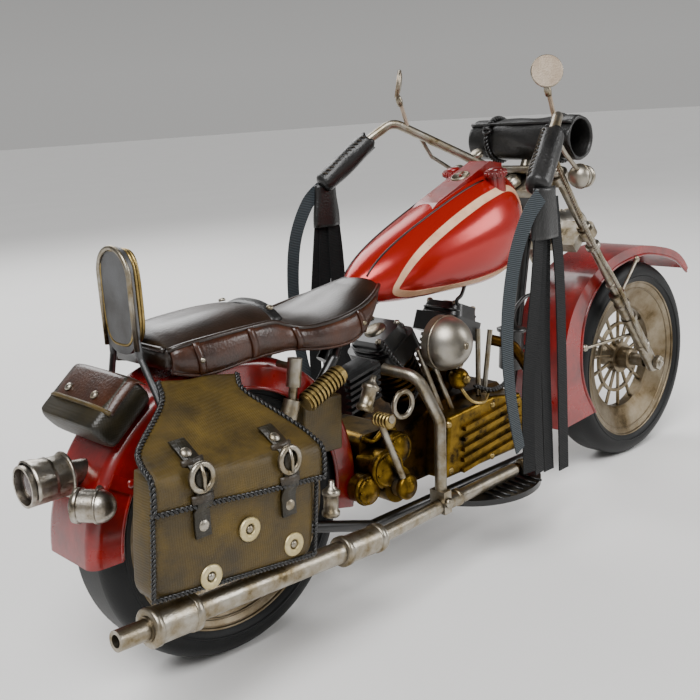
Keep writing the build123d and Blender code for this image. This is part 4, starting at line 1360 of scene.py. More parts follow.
    def fittings(self) -> None:
        """Ring buckles with tongues, domed rivets and large washers."""
        metal = Shape()
        washers = Shape()
        for x, z in self.strap_places:
            ring = [Vector((x + 3.5 * math.cos(a), self.face_y - 3.7, z + 3.9 * math.sin(a)))
                    for a in round_angles(28)]
            metal.tube(ring, 0.95, 10, ring=True)
            metal.tube([(x - 0.3, self.face_y - 4.3, z + 3.8), (x, self.face_y - 4.9, z),
                (x + 0.2, self.face_y - 4.3, z - 4)], 0.6, 8)
            metal.rivet((x, self.strap_y(x, z + 5.6) - 0.4, z + 5.6), (0, -0.7, 0.7), 1.9, 1.1)
            metal.rivet((x + 0.6, self.face_y - 0.9, z - 15.2), RIGHT, 2.1, 1.2)
        for x, z in self.washer_places:
            profile = [(-0.4, 1.4), (-0.4, 3.7), (0.6, 3.8), (1.0, 3.3), (1.05, 2.2), (0.7, 1.6), (-0.4, 1.4)]
            washers.lathe((x, self.face_y - 0.5, z), RIGHT, profile, 36)
            metal.rivet((x, self.face_y - 0.7, z), RIGHT, 1.3, 0.9)
        seated(metal.piece("bag_buckles_and_rivets", TIN), Body.CHASSIS, Slot.BRIGHT_TIN, "bag_fittings")
        seated(washers.piece("bag_washers", CREAM_METAL), Body.CHASSIS, Slot.BRIGHT_TIN)


@dataclass
class ToolPouch:
    """Small box pouch behind the seat with a lapped lid."""

    centre: Point = (-160.8, 0, 98.4)
    tilt: float = -40
    long: float = 21
    wide: float = 35
    deep: float = 11

    def place(self, along: float, side: float, out: float) -> Vector:
        """A point of the pouch along its slope, across it and out from it.

        Args:
            along: Down the slope.
            side: Across it.
            out: Out from it.

        Returns:
            The point in the row frame.
        """
        turn = math.radians(self.tilt)
        return Vector(self.centre) + Vector((along * math.cos(turn) + out * math.sin(turn), side,
            out * math.cos(turn) - along * math.sin(turn)))

    def puffed(self, long: float, wide: float, low: float, high: float, middle: float = 0.0) -> Shape:
        """A pillow-sided box.

        Args:
            long: Its length down the slope.
            wide: Its width.
            low: Its inner face.
            high: Its outer face.
            middle: Where its middle lies along the slope.

        Returns:
            The box.
        """
        rows = []
        for k in range(9):
            t = k / 8
            out = low + (high - low) * t
            pinch = 1 - 0.09 * abs(2 * t - 1) ** 3
            ring = []
            for i in range(48):
                turn = 2 * math.pi * i / 48
                c, s = math.cos(turn), math.sin(turn)
                ring.append(self.place(middle + long / 2 * pinch * swell(c, 0.16),
                                       wide / 2 * pinch * swell(s, 0.16), out))
            rows.append(ring)
        return Shape().grid(rows)

    def build(self) -> None:
        """Build the box, the lid with its rolled edge, and the two studs."""
        box = self.puffed(self.long, self.wide, -self.deep / 2, self.deep / 2).piece("pouch_box", DARK_OLIVE)
        seated(box, Body.CHASSIS, Slot.OLIVE_LEATHER, "tool_pouch")
        rows = []
        for k in range(15):
            t = k / 14
            along = self.long / 2 + 0.4 - self.long * 0.66 * t
            lift = self.deep / 2 + 0.9 - 0.5 * (2 * t - 1) ** 2
            if t < 0.1:
                lift -= 3 * (0.1 - t) / 0.1
            across = [self.place(along, s * (self.wide / 2 + 0.6), lift - 2.2 * abs(s) ** 6) for s in
                      [-1 + j / 9 for j in range(19)]]
            under = [point - (self.place(0, 0, 1) - self.place(0, 0, 0)) * 0.9 for point in reversed(across)]
            rows.append([*across, *under])
        lid = Shape().grid(rows)
        cover = seated(lid.piece("pouch_lid", PANEL_HIDE), Body.CHASSIS, Slot.OLIVE_LEATHER)
        edge = [self.place(self.long / 2 + 0.4 - self.long * 0.66, s * (self.wide / 2 + 0.5),
                           self.deep / 2 + 0.5 - 2.2 * abs(s) ** 6) for s in [-1 + j / 12 for j in range(25)]]
        roll = Shape().tube(edge, 0.8, 8)
        seated(roll.piece("pouch_lid_roll", OLIVE), Body.CHASSIS, Slot.OLIVE_LEATHER)
        studs = Shape()
        for side in (-8, 8):
            out = self.place(0, 0, 1) - self.place(0, 0, 0)
            studs.rivet(self.place(0.4, side, self.deep / 2 + 1.0), out, 1.5, 0.9)
        seated(studs.piece("pouch_studs", TIN), Body.CHASSIS, Slot.BRIGHT_TIN)


# ------------------------------------------------------------------ cockpit


def on_steering(along: float, ahead: float = 0, side: float = 0) -> Vector:
    """A point measured from the head along the steering axis, ahead of it and sideways."""
    return HEAD_POINT + STEER * along + AHEAD * ahead + Vector((0, side, 0))


@dataclass
class Cockpit:
    """Bedroll, grips, mirrors, lamps and cable of the steered front."""

    grip_tip: Point = (-8, 57.4, 152)
    grip_root: Point = (14, 49, 170)
    roll_centre: Point = (64.6, 0, 165.5)
    roll_radius: float = 9.2
    roll_half: float = 27
    cable_route: tuple[Point, ...] = (
        (42, -27, 163), (56, -25, 148), (76, -24.6, 119), (99, -25, 95), (119, -24, 66), (128, -23, 58))

    def build(self) -> None:
        """Build everything that turns with the bars, but for the tassels."""
        self.bedroll()
        for side, label in SIDES:
            self.grip(side, label)
            self.mirror(side, label)
        self.cable()
        self.lamps()
        self.fork()

    def bedroll(self) -> None:
        """Rolled black hide: a spiral of thick hide with creases, dark open ends and two tied ropes."""
        draw = random.Random(11)
        creases = [(draw.randint(2, 5), draw.uniform(0.05, 0.3), draw.uniform(0, 6.3),
            draw.uniform(0.1, 0.22)) for _ in range(6)]
        rows = []
        steps = 48
        for k in range(steps):
            y = -self.roll_half + 2 * self.roll_half * k / (steps - 1)
            nip = sum(math.exp(-(((y - tie) / 2.2) ** 2)) for tie in (-17.5, 16.5))
            ring = []
            for i in range(56):
                turn = 2 * math.pi * i / 56
                size = self.roll_radius - 0.8 * nip
                size += sum(a * math.sin(n * turn + f * y + p) for n, f, p, a in creases)
                ring.append(Vector(self.roll_centre) + Vector((size * math.cos(turn), y,
                    size * math.sin(turn))))
            rows.append(ring)
        for end in (-1, 1):
            inner = []
            for radius, depth in ((8.9, 0.3), (8.1, 0.3), (7.8, -0.8), (7.6, -9.0), (7.4, -18.0),
                (2.0, -19.0)):
                edge = [Vector(self.roll_centre) + Vector((
                    radius * math.cos(2 * math.pi * i / 56), end * (self.roll_half + depth),
                    radius * math.sin(2 * math.pi * i / 56))) for i in range(56)]
                inner.append(edge)
            rows = [*reversed(inner), *rows] if end < 0 else [*rows, *inner]
        roll = Shape().grid(rows).piece("bedroll_hide", BLACK_HIDE)
        seated(roll, Body.STEERING, Slot.BLACK_LEATHER, "bedroll")
        lap = [Vector(self.roll_centre) + Vector((-6.4, y, 7.1)) for y in range(-27, 28, 3)]
        edge = Shape().tube(lap, 0.8, 8)
        seated(edge.piece("bedroll_rolled_edges", BLACK_HIDE), Body.STEERING, Slot.BLACK_LEATHER)
        ropes = Shape()
        for tie in (-17.5, 16.5):
            ring = [Vector(self.roll_centre) + Vector((9.6 * math.cos(a), tie + 0.4 * math.sin(a),
                9.6 * math.sin(a))) for a in [2 * math.pi * k / 40 for k in range(41)]]
            ropes.rope(ring, 1.25, 3.2, 2)
            knot = Vector(self.roll_centre) + Vector((-8.6, tie, 4.6))
            ropes.tube(curve_through([knot + Vector((0, -2, 0)), knot + Vector((-1.4, 0, 1.2)),
                knot + Vector((0, 2, 0)), knot + Vector((-1.3, 0.2, -1.4))], 6, ring=True), 0.75, 8,
                ring=True)
        seated(ropes.piece("bedroll_ties", BLACK_HIDE), Body.STEERING, Slot.BLACK_LEATHER)

    def grip(self, side: int, label: str) -> None:
        """Wrapped grip with a stitched seam and a ragged collar.

        Args:
            side: -1 for the right, 1 for the left.
            label: Name of the side.
        """
        tip, root = (Vector((p[0], p[1] * side, p[2])) for p in (self.grip_tip, self.grip_root))
        run = (root - tip).normalized()
        lead = run.cross(Vector((0, 0, 1))).normalized()
        other = run.cross(lead)
        rows = []
        length = (root - tip).length
        for k in range(30):
            t = k / 29
            ring = []
            for i in range(32):
                turn = 2 * math.pi * i / 32
                size = 4.5 + 0.35 * math.sin(3.4 * t) + 0.12 * math.sin(3 * turn + 9 * t)
                size -= 1.4 * max(0, (0.06 - t) / 0.06) ** 2
                ragged = 0.8 * math.sin(4 * turn + side) * max(0, t - 0.8) / 0.2
                middle = tip - run * 1.4 + run * (length * t + ragged)
                ring.append(middle + (lead * math.cos(turn) + other * math.sin(turn)) * size)
            rows.append(ring)
        for size, back in ((3.6, 0.3), (2.3, 1.2)):
            rows.append([root - run * (1.4 + back) + (lead * math.cos(2 * math.pi * i / 32)
                         + other * math.sin(2 * math.pi * i / 32)) * size for i in range(32)])
        nodes = ("grips",) if side < 0 else ()
        seated(Shape().grid(rows).piece(f"grip_{label}", BLACK_HIDE), Body.STEERING, Slot.BLACK_LEATHER,
            *nodes)
        seam = Shape()
        outward = (Vector((-1, -0.4 * side, 0.6)) - run * Vector((-1, -0.4 * side,
            0.6)).dot(run)).normalized()
        across = run.cross(outward)
        for k in range(12):
            middle = tip + run * (2 + k * (length - 4) / 12)
            base = middle + outward * 4.6
            seam.tube([base - across * 1.0, base + outward * 0.5 + run * 0.6,
                base + across * 1.0 + run * 1.2], 0.3, 6)
        seated(seam.piece(f"grip_stitches_{label}", DARK_STRAP), Body.STEERING, Slot.BLACK_LEATHER)

    def mirror(self, side: int, label: str) -> None:
        """Rolled rim and stem socket of a round mirror.

        Args:
            side: -1 for the right, 1 for the left.
            label: Name of the side.
        """
        centre = Vector((23.6, side * 39.6, 192.6))
        face = Vector((-0.68, side * 0.71, 0.18)).normalized()
        metal = Shape()
        lead = face.cross(Vector((0, 0, 1))).normalized()
        other = face.cross(lead)
        ring = [centre + (lead * math.cos(a) + other * math.sin(a)) * 5.8 for a in
                round_angles(36)]
        metal.tube(ring, 0.55, 8, ring=True)
        metal.lathe(centre - face * 0.6, -face, [(0, 5.4), (0.5, 4.8), (0.9, 3.2), (1.1, 0.4)], 32)
        metal.lathe((23.6, side * 39.6, 186.2), (-0.35, 0, 1),
            [(-3, 1.2), (-1, 1.5), (1.0, 1.2), (1.6, 0.8)], 16)
        seated(metal.piece(f"mirror_rim_{label}", TIN), Body.STEERING, Slot.BRIGHT_TIN)

    def cable(self) -> None:
        """Twisted wire brake cable, tied to the fork."""
        curve = bpy.data.curves.new("cable_line", "CURVE")
        curve.dimensions = "3D"
        spline = curve.splines.new("NURBS")
        spline.points.add(len(self.cable_route) - 1)
        for point, place in zip(spline.points, self.cable_route):
            point.co = (*place, 1)
        spline.order_u = 3
        spline.use_endpoint_u = True
        spline.resolution_u = 12
        holder = bpy.data.objects.new("cable_line", curve)
        line = [vertex.co.copy() for vertex in bpy.data.meshes.new_from_object(holder).vertices]
        bpy.data.objects.remove(holder)
        rope = Shape().rope(line, 1.15, 4.2, 3)
        seated(rope.piece("brake_cable_wires", TIN), Body.STEERING, Slot.BRIGHT_TIN, "brake_cable")

    def lamps(self) -> None:
        """Rims and ribbed lens of the headlamp, and end caps of the side lamps."""
        rim = Shape().lathe((96.5, 0, 123), (1, 0, 0),
            [(-1.2, 7.9), (-1.0, 8.5), (0.8, 8.7), (1.8, 8.2), (1.5, 7.3), (-1.2, 7.1)], 40)
        for side in (-1, 1):
            rim.lathe((55.1, side * 33, 150), (0.9, 0, -0.1),
                [(3.4, 4.4), (4.0, 4.7), (5.0, 4.4), (5.3, 3.4)], 28)
            rim.tube([Vector((55.1 + 0.2 * math.cos(a), side * 33 + 5.0 * math.cos(a),
                150 + 5.0 * math.sin(a))) for a in round_angles(30)], 0.35, 6, ring=True)
        seated(rim.piece("lamp_rims", TIN), Body.STEERING, Slot.BRIGHT_TIN)
        lens = Shape().lathe((97.6, 0, 123), (1, 0, 0),
            [(-0.2, 7.3), (0.6, 7.1), (1.5, 5.2), (2.0, 2.8), (2.1, 0.3)], 36)
        seated(lens.piece("headlamp_lens", LENS), Body.STEERING, Slot.BRIGHT_TIN)

    def fork(self) -> None:
        """Collars, nuts and bolts of the fork, and rivets of the front fender."""
        metal = Shape()
        for side in (-1, 1):
            for along, radius in ((30, 3.0), (19.2, 3.4), (-14, 3.2), (-26, 3.4), (-52, 2.9), (-66, 3.8),
                (-96, 3.7)):
                middle = on_steering(along, 7, side * 19)
                metal.lathe(middle, STEER,
                    [(-1.4, radius - 0.6), (-0.9, radius), (0.9, radius), (1.4, radius - 0.6)], 24)
            metal.lathe(on_steering(20, 7, side * 19), STEER,
                [(-0.5, 3.0), (1.4, 3.1), (2.2, 2.2), (2.5, 0.4)], 6)
            hub = Vector((137.4, side * 24.6, 50))
            metal.lathe(hub - Vector((0, side * 2.6, 0)), (0, side, 0),
                [(0, 3.4), (2.0, 3.4), (2.4, 2.6), (2.5, 1.8), (3.4, 1.6), (3.7, 0.4)], 6)
            for x, z in ((131, 103), (86, 67)):
                metal.rivet((x, side * 14.6, z), (0, side, 0), 1.8, 1.1)
        metal.lathe(on_steering(19, 0, 0), STEER,
            [(-0.2, 4.6), (1.2, 4.6), (1.8, 3.4), (3.0, 3.2), (3.4, 0.6)], 6)
        seated(metal.piece("fork_collars_and_nuts", TIN), Body.STEERING, Slot.BRIGHT_TIN)
        beading = Shape()
        for side in (-1, 1):
            edge = curve_through([(95, side * 14, 33), (86.5, side * 14, 47), (83.6, side * 14, 62),
                (86.5, side * 14, 80), (97.6, side * 14, 94.3), (115, side * 14, 101.9),
                (137, side * 14, 104.2), (154, side * 14, 101.7), (170, side * 14, 96.7),
                (181.5, side * 14, 89)], 6)
            beading.tube(edge, 0.7, 6)
        seated(beading.piece("front_fender_beading", RED), Body.STEERING, Slot.RED_ENAMEL)


@dataclass
class Streamers:
    """Grosgrain ribbons hanging from the end of each grip."""

    width: float = 6.0
    thick: float = 0.6
    first_layer: float = 57.7
    layer_step: float = 0.85
    # Routes of the ribbons on each side: places ahead and heights in millimetres
    bundle: tuple[tuple[Point, ...], ...] = (
        ((-4, 148.5), (-4.4, 122), (-5, 88), (-4.6, 43)),
        ((-7, 148), (-9.4, 118), (-12, 84), (-11.4, 44)),
        ((-8.6, 147), (-13.6, 114), (-18.4, 80), (-18.6, 46.5)),
        ((-2.6, 147.5), (0.4, 120), (1.2, 86), (2.2, 42)),
    )
    right_loner: tuple[Point, ...] = (
        (-11, 149), (-18.5, 142.5), (-26, 130), (-31, 113), (-32.6, 96), (-31, 77), (-26.5, 58))
    left_loner: tuple[Point, ...] = (
        (-7, 150), (-16, 143.5), (-24, 129), (-27, 110), (-26.5, 90), (-24, 72), (-19, 56))
    faces: tuple[float, ...] = (0.15, -0.25, 0.3, -0.1, 0.35)

    def build(self) -> None:
        """Build every ribbon and its wrap on both sides."""
        for side, label in SIDES:
            loner = self.right_loner if side < 0 else self.left_loner
            for number, route in enumerate((*self.bundle, loner)):
                self.ribbon(side, label, number, route)
            self.wrap(side, label)

    def ribbon(self, side: int, label: str, number: int, route: Sequence[Point]) -> None:
        """Hang one ribbon.

        Args:
            side: -1 for the right, 1 for the left.
            label: Name of the side.
            number: Its number in the bundle.
            route: Its places ahead and heights.
        """
        stack = self.first_layer + self.layer_step * number
        line = curve_through([(x, side * (stack + 0.25 * math.sin(0.05 * z + number)), z) for x,
            z in route], 10)
        rows = []
        for i, point in enumerate(line):
            t = i / (len(line) - 1)
            run = (line[min(i + 1, len(line) - 1)] - line[max(i - 1, 0)]).normalized()
            angle = self.faces[number] * math.sin(3.2 * t + number)
            across = Vector((math.cos(angle), 0.5 * math.sin(angle), 0))
            across = (across - run * across.dot(run)).normalized()
            rows.append((point, across, across.cross(run)))
        look = GREY_RIBBON if number == 4 else BLACK_RIBBON
        nodes = (f"{label}_tassel",) if number == 0 else ()
        piece = flat_band(rows, self.width, self.thick).piece(f"streamer_{label}_{number}", look,
            smooth=False)
        seated(piece, None, Slot.BLACK_RIBBON, *nodes)
        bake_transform(piece)

    def wrap(self, side: int, label: str) -> None:
        """Hide that gathers the bundle under the grip's end and widens over the ribbons.

        Args:
            side: -1 for the right, 1 for the left.
            label: Name of the side.
        """
        rows = []
        for k in range(15):
            t = k / 14
            long = 7.6 - 1.6 * t + 0.3 * math.sin(6 * t)
            ring = []
            for i in range(36):
                turn = 2 * math.pi * i / 36
                fold = 0.28 * math.sin(5 * turn + 2 * side) * (1 - t)
                ring.append(Vector((-6.6 + 0.6 * t + (long + fold) * math.cos(turn),
                                    side * 59.0 + (2.6 + fold) * math.sin(turn), 133 + 18.5 * t)))
            rows.append(ring)
        seated(Shape().grid(rows).piece(f"streamer_wrap_{label}", BLACK_HIDE), Body.STEERING,
            Slot.BLACK_LEATHER)


# ------------------------------------------------------------------ engine and rear


@dataclass
class Engine:
    """Small parts that dress the engine: bolts, fins, rims, leads, caps and treads."""

    lean: tuple[float, float] = (-28, 22)
    crank: Point = (-12, 0, 50)

    def up_cylinder(self, number: int, along: float, side: float = 0, ahead: float = 0) -> Vector:
        """A point on a cylinder's own axes.

        Args:
            number: 0 for the rear cylinder, 1 for the front one.
            along: Up from the crank.
            side: Sideways.
            ahead: Across the cylinder, ahead.

        Returns:
            The point in the row frame.
        """
        turn = math.radians(self.lean[number])
        axis = Vector((math.sin(turn), 0, math.cos(turn)))
        cross = Vector((math.cos(turn), 0, -math.sin(turn)))
        return Vector(self.crank) + axis * along + cross * ahead + Vector((0, side, 0))

    def build(self) -> None:
        """Build the details group by group."""
        self.heads()
        self.intake()
        self.covers()
        self.leads()
        self.kick_pedal()
        self.footboard_ribs()
        self.gearbox_domes()

    def heads(self) -> None:
        """Rocker covers' bolts and the heads' fins."""
        bolts = Shape()
        fins = Shape()
        for number in (0, 1):
            axis = self.up_cylinder(number, 1) - self.up_cylinder(number, 0)
            for side in (-7, 7):
                for ahead in (-6, 6):
                    bolts.lathe(self.up_cylinder(number, 54.3, side, ahead), axis,
                                [(-0.8, 1.3), (0.6, 1.3), (1.0, 0.8), (1.1, 0.3)], 6)
            bolts.lathe(self.up_cylinder(number, 54.2, 0, 0), axis,
                [(-0.6, 4.6), (0.5, 4.5), (1.2, 3.4), (1.4, 1.0)], 28)
            for k in range(5):
                middle = self.up_cylinder(number, 42.4 + 2.2 * k)
                ring = [middle + Vector((0, 9.5 * swell(math.sin(a), 0.6), 0))
                        + (self.up_cylinder(number, 0, 0, 1) - self.up_cylinder(number, 0)) * 9.5
                        * swell(math.cos(a), 0.6)
                        for a in round_angles(32)]
                fins.tube(ring, 0.55, 6, ring=True)
        seated(bolts.piece("head_bolts", TIN), Body.CHASSIS, Slot.BRIGHT_TIN)
        seated(fins.piece("head_fins", BLACK), Body.CHASSIS, Slot.BLACK_ENAMEL)

    def intake(self) -> None:
        """Domed air cleaner's rolled rim, bolt and the carburettor's collar."""
        metal = Shape()
        place, _ = on_node("air_cleaner", (-20, -80, 92), (0, 1, 0), 0)
        rim = [Vector((-20 + 10.4 * math.cos(a), -21.4, 92 + 10.4 * math.sin(a))) for a in
               round_angles(40)]
        metal.tube(rim, 0.7, 8, ring=True)
        metal.rivet(place, RIGHT, 1.4, 0.8)
        for k in range(3):
            ring = [Vector((-13 + 3.0 * math.cos(a), -18 - 1.6 * k, 83 + 3.0 * math.sin(a))) for a in
                    round_angles(24)]
            metal.tube(ring, 0.5, 6, ring=True)
        seated(metal.piece("air_cleaner_rim", TIN), Body.CHASSIS, Slot.BRIGHT_TIN)
        brass = Shape().lathe((-13, -24.8, 76), RIGHT, [(-0.4, 2.2), (0.8, 2.2), (1.4, 1.4), (1.6, 0.4)], 6)
        brass.tube(curve_through([(-13, -22, 72), (-9, -24, 66), (-2, -24.5, 64), (4, -22, 66)], 6), 0.8, 8)
        seated(brass.piece("carburettor_nut_and_pipe", BRASS), Body.CHASSIS, Slot.GOLD_LACQUER)

    def covers(self) -> None:
        """Screws round the cam cover and two small canisters beside the oil box."""
        screws = Shape()
        for x, z in ((-24, 41), (-24, 60), (3, 61.5), (20, 59), (25, 50), (22, 41), (0, 40.5)):
            place, normal = on_node("cam_cover", (x, -80, z), (0, 1, 0), 0)
            if place.y > -79:
                screws.rivet(place, normal, 1.4, 0.8)
        seated(screws.piece("cover_screws", BRASS), Body.CHASSIS, Slot.BRASS)
        clips = Shape()
        for x, y, z, axis in ((-92.5, -30, 51, (0.1, 0, 1)), (-72, -30, 84, (0.5, 0, 1))):
            clips.lathe(Vector((x, y, z)) - Vector(axis).normalized() * 5, axis,
                [(0, 2.6), (0.6, 3.2), (2.0, 3.2), (2.4, 2.6), (7.6, 2.6), (8.0, 3.2), (9.2, 3.2),
                    (9.8, 2.4), (11, 1.2), (13, 1.0)], 24)
        seated(clips.piece("oil_and_pump_canisters", TIN), Body.CHASSIS, Slot.BRIGHT_TIN)

    def leads(self) -> None:
        """Twisted ignition lead across the front of the engine and its two branches."""
        rope = Shape()
        rope.rope(curve_through([(-2, -20, 70), (6, -23, 67), (16, -22, 68), (24, -19, 74), (28, -14, 84)],
            8), 1.1, 3.4, 2)
        rope.rope(curve_through([(-30, -12, 70), (-34, -18, 78), (-42, -16, 88), (-44, -10, 96)], 8), 0.9,
            3.0, 2)
        seated(rope.piece("ignition_leads", BLACK_HIDE), Body.CHASSIS, Slot.BLACK_LEATHER)
        can = Shape().lathe((40, -6, 66), (0.08, 0, 1),
            [(0, 4.6), (0.6, 5.4), (16.6, 5.4), (17.0, 6.6), (18.4, 6.8), (19.0, 5.2), (19.2, 2.4),
                (22.5, 1.6), (23, 0.4)], 28)
        can.tube(curve_through([(41.8, -6, 88), (44, -6.4, 93), (52, -6.4, 97), (62.6, -5.6, 96)], 6), 0.9, 8)
        can.tube([(44, -6, 74), (60.6, -6.6, 74)], 1.0, 8)
        can.tube(curve_through([(3, -8, 101.5), (2.4, -8.4, 104), (5, -8.6, 105.6), (8, -8, 109)], 6), 0.8, 8)
        seated(can.piece("ignition_can", BLACK), Body.CHASSIS, Slot.BLACK_ENAMEL)

    def gearbox_domes(self) -> None:
        """Rounded, beaded caps on the gearbox lobes, a pipe above them and a boss on the kick shaft."""
        domes = Shape()
        for x, z, face, radius in ((-66, 45, 22, 5.5), (-57, 51, 24, 7), (-48, 56, 21, 6)):
            profile = [(-3.0, radius * 0.98), (-2.4, radius * 1.1), (-1.4, radius * 1.12),
                (-0.7, radius * 1.0), (0.3, radius * 0.86), (0.6, radius * 0.8), (1.3, radius * 0.52),
                (1.8, radius * 0.2), (1.9, 0.1)]
            domes.lathe((x, -face, z), RIGHT, profile, 36)
            for k in range(5):
                turn = 2 * math.pi * k / 5 + x
                domes.rivet((x + 0.82 * radius * math.cos(turn), -face - 0.3,
                    z + 0.82 * radius * math.sin(turn)), RIGHT, 0.7, 0.6)
        domes.tube(curve_through([(-61, -13.4, 62.6), (-56, -14.6, 60), (-50, -15.0, 63),
            (-44, -14.4, 61.5)], 8), 1.2, 8)
        seated(domes.piece("gearbox_domes", GOLD), Body.CHASSIS, Slot.GOLD_LACQUER)
        boss = Shape().lathe((-53, -29.2, 44), RIGHT,
            [(-2.2, 4.2), (-1.8, 4.8), (0.2, 4.8), (0.8, 4.0), (0.9, 2.6), (1.6, 2.3), (1.9, 1.2),
                (2.0, 0.2)], 32)
        seated(boss.piece("kick_boss", GOLD), Body.KICK_LEVER, Slot.BRIGHT_TIN)

    def kick_pedal(self) -> None:
        """Ribbed sleeve on the kick pedal."""
        sleeve = Shape()
        for k in range(5):
            sleeve.lathe((-65.5, -27.0 - 1.6 * k, 74), RIGHT,
                [(0, 2.1), (0.3, 2.7), (0.9, 2.7), (1.2, 2.1)], 20)
        seated(sleeve.piece("kick_pedal_sleeve", BRASS), Body.KICK_LEVER, Slot.BRIGHT_TIN)

    def footboard_ribs(self) -> None:
        """Raised treads on both footboards."""
        ribs = Shape()
        low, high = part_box("footboards")
        middle = (low[0] + high[0]) / 2 / MM
        for side in (-1, 1):
            for k in range(-3, 4):
                x = middle + k * 4.2
                edge = high[1] / MM
                ribs.tube([(x, side * (edge - 12.5), 28.7), (x, side * (edge - 2.2), 28.7)], 0.55, 6)
        seated(ribs.piece("footboard_treads", BLACK), Body.CHASSIS, Slot.BLACK_ENAMEL)


@dataclass
class Tail:
    """Rear lamps, sissy pad, fender rivets, exhaust trim and wheel details."""

    muffler_front: Point = (-78, -38, 35.4)
    muffler_end: Point = (-187.05, -45.5, 45)
    spokes: int = 14

    def build(self) -> None:
        """Build all of it."""
        self.sissy_pad()
        self.lamps()
        self.rivets()
        self.exhaust()
        self.wheels()

    def sissy_pad(self) -> None:
        """Crowned pad whose sides pull in between its corners, with layered piping and the bar's rolled edge.
        """
        rows = []
        for k in range(13):
            t = k / 12
            depth = 0.3 + 3.4 * math.sin(math.pi / 2 * t)
            shrink = 1 - 0.16 * t ** 3
            ring = []
            for i in range(48):
                turn = 2 * math.pi * i / 48
                c, s = math.cos(turn), math.sin(turn)
                pull = 1 - 0.03 * (abs(math.sin(2 * turn)) < 0.5)
                ring.append(Vector((-147.6 + depth, 7.6 * shrink * pull * swell(c, 0.55),
                                    130 + 14.2 * shrink * pull * swell(s, 0.5))))
            rows.append(ring)
        pad = Shape().grid(rows).piece("sissy_pad_cushion", BLACK_HIDE)
        seated(soften(pad), Body.CHASSIS, Slot.BLACK_LEATHER, "sissy_pad")
        layers = Shape()
        for depth in (-148.6, -147.4, -146.2, -145.0):
            size = 1.06 - 0.03 * (depth + 148.6) / 3.6
            ring = [Vector((depth, size * 7.8 * swell(math.cos(a), 0.6),
                            130 + size * 14.2 * swell(math.sin(a), 0.55))) for a in
                    round_angles(60)]
            layers.tube(ring, 0.62, 8, ring=True)
        seated(layers.piece("sissy_pad_layered_edge", BRASS), Body.CHASSIS, Slot.BRIGHT_TIN)
        upper = [v.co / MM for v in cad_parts["sissy_bar"].data.vertices if v.co.z > 125 * MM]
        half = max(v.y for v in upper) - 0.3
        top = max(v.z for v in upper) - 0.3
        back = min(v.x for v in upper)
        arch = [Vector((back, half * math.cos(a), top - half + half * math.sin(a))) for a in
                [math.pi * k / 39 for k in range(40)]]
        outline = [Vector((back, half, 114)), *arch, Vector((back, -half, 114))]
        plate = Shape()
        plate.tube(outline, 0.9, 8)
        seated(plate.piece("sissy_bar_rolled_edge", TIN), Body.CHASSIS, Slot.BRIGHT_TIN)

    def lamps(self) -> None:
        """Visor and red glass of the tail lamp, rims and glass of the turn signals."""
        metal = Shape()
        glass = Shape()
        visor = []
        for k in range(7):
            x = -178.6 - 1.2 * k
            visor.append([Vector((x, (6.9 + 0.12 * k + 0.2 * math.sin(5 * a)) * math.cos(a),
                                  79 + (6.9 + 0.12 * k + 0.25 * math.sin(7 * a + k)) * math.sin(a)))
                          for a in [math.radians(-30 + 240 * i / 24) for i in range(25)]])
        inner = [[Vector((p.x, p.y * 0.93, 79 + (p.z - 79) * 0.93)) for p in row] for row in visor]
        metal.grid([outer + list(reversed(inside)) for outer, inside in zip(visor, inner)])
        metal.tube([Vector((-173.6, 6.6 * math.cos(a), 79 + 6.7 * math.sin(a))) for a in
                    round_angles(36)], 0.7, 8, ring=True)
        glass.lathe((-184.6, 0, 79), (-1, 0, 0),
            [(-0.6, 5.6), (0.3, 5.5), (1.0, 4.0), (1.5, 2.0), (1.6, 0.2)], 28)
        for side in (-1, 1):
            way = Vector((0.62, side * 0.78, -0.05)).normalized()
            base = Vector((-177, side * 14.5, 73.6))
            metal.lathe(base, way, [(-1.6, 4.2), (-1.4, 5.3), (0.2, 5.5), (0.7, 4.9)], 28)
            metal.lathe(base, way, [(5.2, 4.9), (5.4, 5.3), (6.2, 5.3), (6.4, 4.9)], 28)
            glass.lathe(base - way * 1.5, -way, [(-0.2, 4.3), (0.5, 4.1), (1.2, 2.8), (1.5, 0.3)], 24)
        seated(metal.piece("rear_lamp_visor_and_rims", TAIL_RUMPLED), Body.CHASSIS, Slot.BRIGHT_TIN)
        seated(glass.piece("rear_lamp_glass", RED_LENS), Body.CHASSIS, Slot.BRIGHT_TIN)

    def rivets(self) -> None:
        """Rivets of the fender's stays and its beaded skirt edge."""
        heads = Shape()
        for side in (-1, 1):
            for x, z in ((-160, 75.4), (-151, 70.4), (-140, 64), (-131, 58.6)):
                heads.rivet((x, side * 15.4, z), (0, side, 0), 1.5, 0.9)
        seated(heads.piece("rear_stay_rivets", RED), Body.CHASSIS, Slot.RED_ENAMEL)
        bead = Shape()
        for side in (-1, 1):
            arc = []
            for k in range(60):
                turn = math.radians(-12 + (178 + 12) * k / 59)
                arc.append(REAR_HUB + Vector((45.2 * math.cos(turn), side * 14.3, 45.2 * math.sin(turn))))
            bead.tube(arc, 0.7, 6)
        seated(bead.piece("rear_fender_beading", RED), Body.CHASSIS, Slot.RED_ENAMEL)

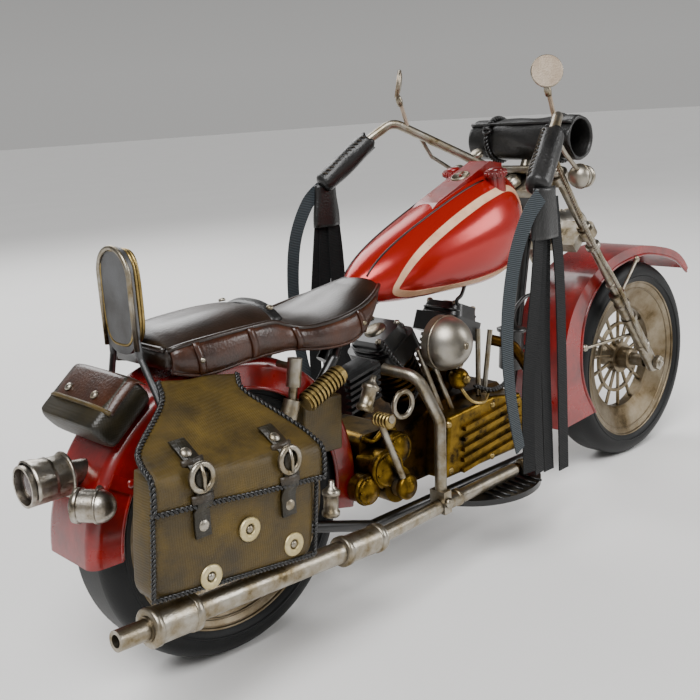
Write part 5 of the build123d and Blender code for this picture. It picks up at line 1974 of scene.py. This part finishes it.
    def exhaust(self) -> None:
        """Clamps on the exhaust and the flared lip of the tailpipe."""
        metal = Shape()
        start, end = Vector(self.muffler_front), Vector(self.muffler_end)
        run = (end - start).normalized()
        for along, radius in ((2, 5.2), (19, 5.3), (84, 5.9), (98, 5.9)):
            metal.lathe(start + run * along, run,
                [(-1.3, radius - 0.5), (-1.0, radius), (1.0, radius), (1.3, radius - 0.5)], 28)
        metal.lathe(start + run * 84, run, [(12.2, 3.3), (12.6, 3.9), (14.5, 3.9), (14.9, 3.3)], 24)
        clamp = Vector((-30, -32.6, 33.6))
        for shift in (0, 42):
            middle = clamp + Vector((shift, 0, 0))
            metal.lathe(middle, (1, 0, 0), [(-1.2, 3.0), (-0.8, 3.5), (0.8, 3.5), (1.2, 3.0)], 24)
        metal.lathe((-39.8, -37.6, 35.5), RIGHT, [(-1.0, 2.0), (0.3, 2.0), (0.9, 1.4), (1.0, 0.3)], 6)
        seated(metal.piece("exhaust_clamps", TIN), Body.CHASSIS, Slot.BRIGHT_TIN)

    def wheels(self) -> None:
        """Hub caps, spoke nipples and sidewall ribs on both wheels."""
        for hub, body, slot, half in ((FRONT_HUB, Body.FRONT_WHEEL, "front", 10.5),
            (REAR_HUB, Body.REAR_WHEEL, "rear", 12)):
            metal = Shape()
            rubber = Shape()
            for side in (-1, 1):
                metal.lathe(hub + Vector((0, side * 7.6, 0)), (0, side, 0),
                            [(-0.4, 5.4), (0.5, 5.2), (1.0, 4.2), (1.2, 2.3), (0.9, 2.2)], 28)
                for radius, size in ((39.9, 0.7), (36.4, 0.5)):
                    ring = [hub + Vector((radius * math.cos(a),
                        side * (half - 2.2 if size > 0.6 else half - 3.2),
                        radius * math.sin(a))) for a in round_angles(80)]
                    metal.tube(ring, size, 6, ring=True)
                for radius, inset in ((42.6, 0.3), (45.4, 1.5)):
                    ring = [hub + Vector((radius * math.cos(a), side * (half - inset), radius * math.sin(a)))
                            for a in round_angles(90)]
                    rubber.tube(ring, 0.55, 6, ring=True)
            for turn in round_angles(self.spokes):
                way = Vector((math.cos(turn), 0, math.sin(turn)))
                metal.lathe(hub + way * 35.2, way, [(0, 1.0), (0.4, 1.5), (2.4, 1.6), (2.8, 1.2)], 12)
            seated(metal.piece(f"{slot}_hub_caps_and_nipples", RIM_STEEL), body, Slot.AGED_RIM)
            seated(rubber.piece(f"{slot}_sidewall_ribs", RUBBER), body, Slot.TYRE_RUBBER)


def main() -> None:
    """Build the whole model's looks in order."""
    logging.basicConfig(level=logging.INFO, format="%(name)s: %(message)s")
    Studio().build()
    dress_nodes()
    for maker in (Tank(), Saddle(), Saddlebag(), ToolPouch(), Cockpit(), Streamers(), Engine(), Tail()):
        maker.build()
        LOG.info("finished %s", type(maker).__name__)


if __name__ == "__main__":
    main()
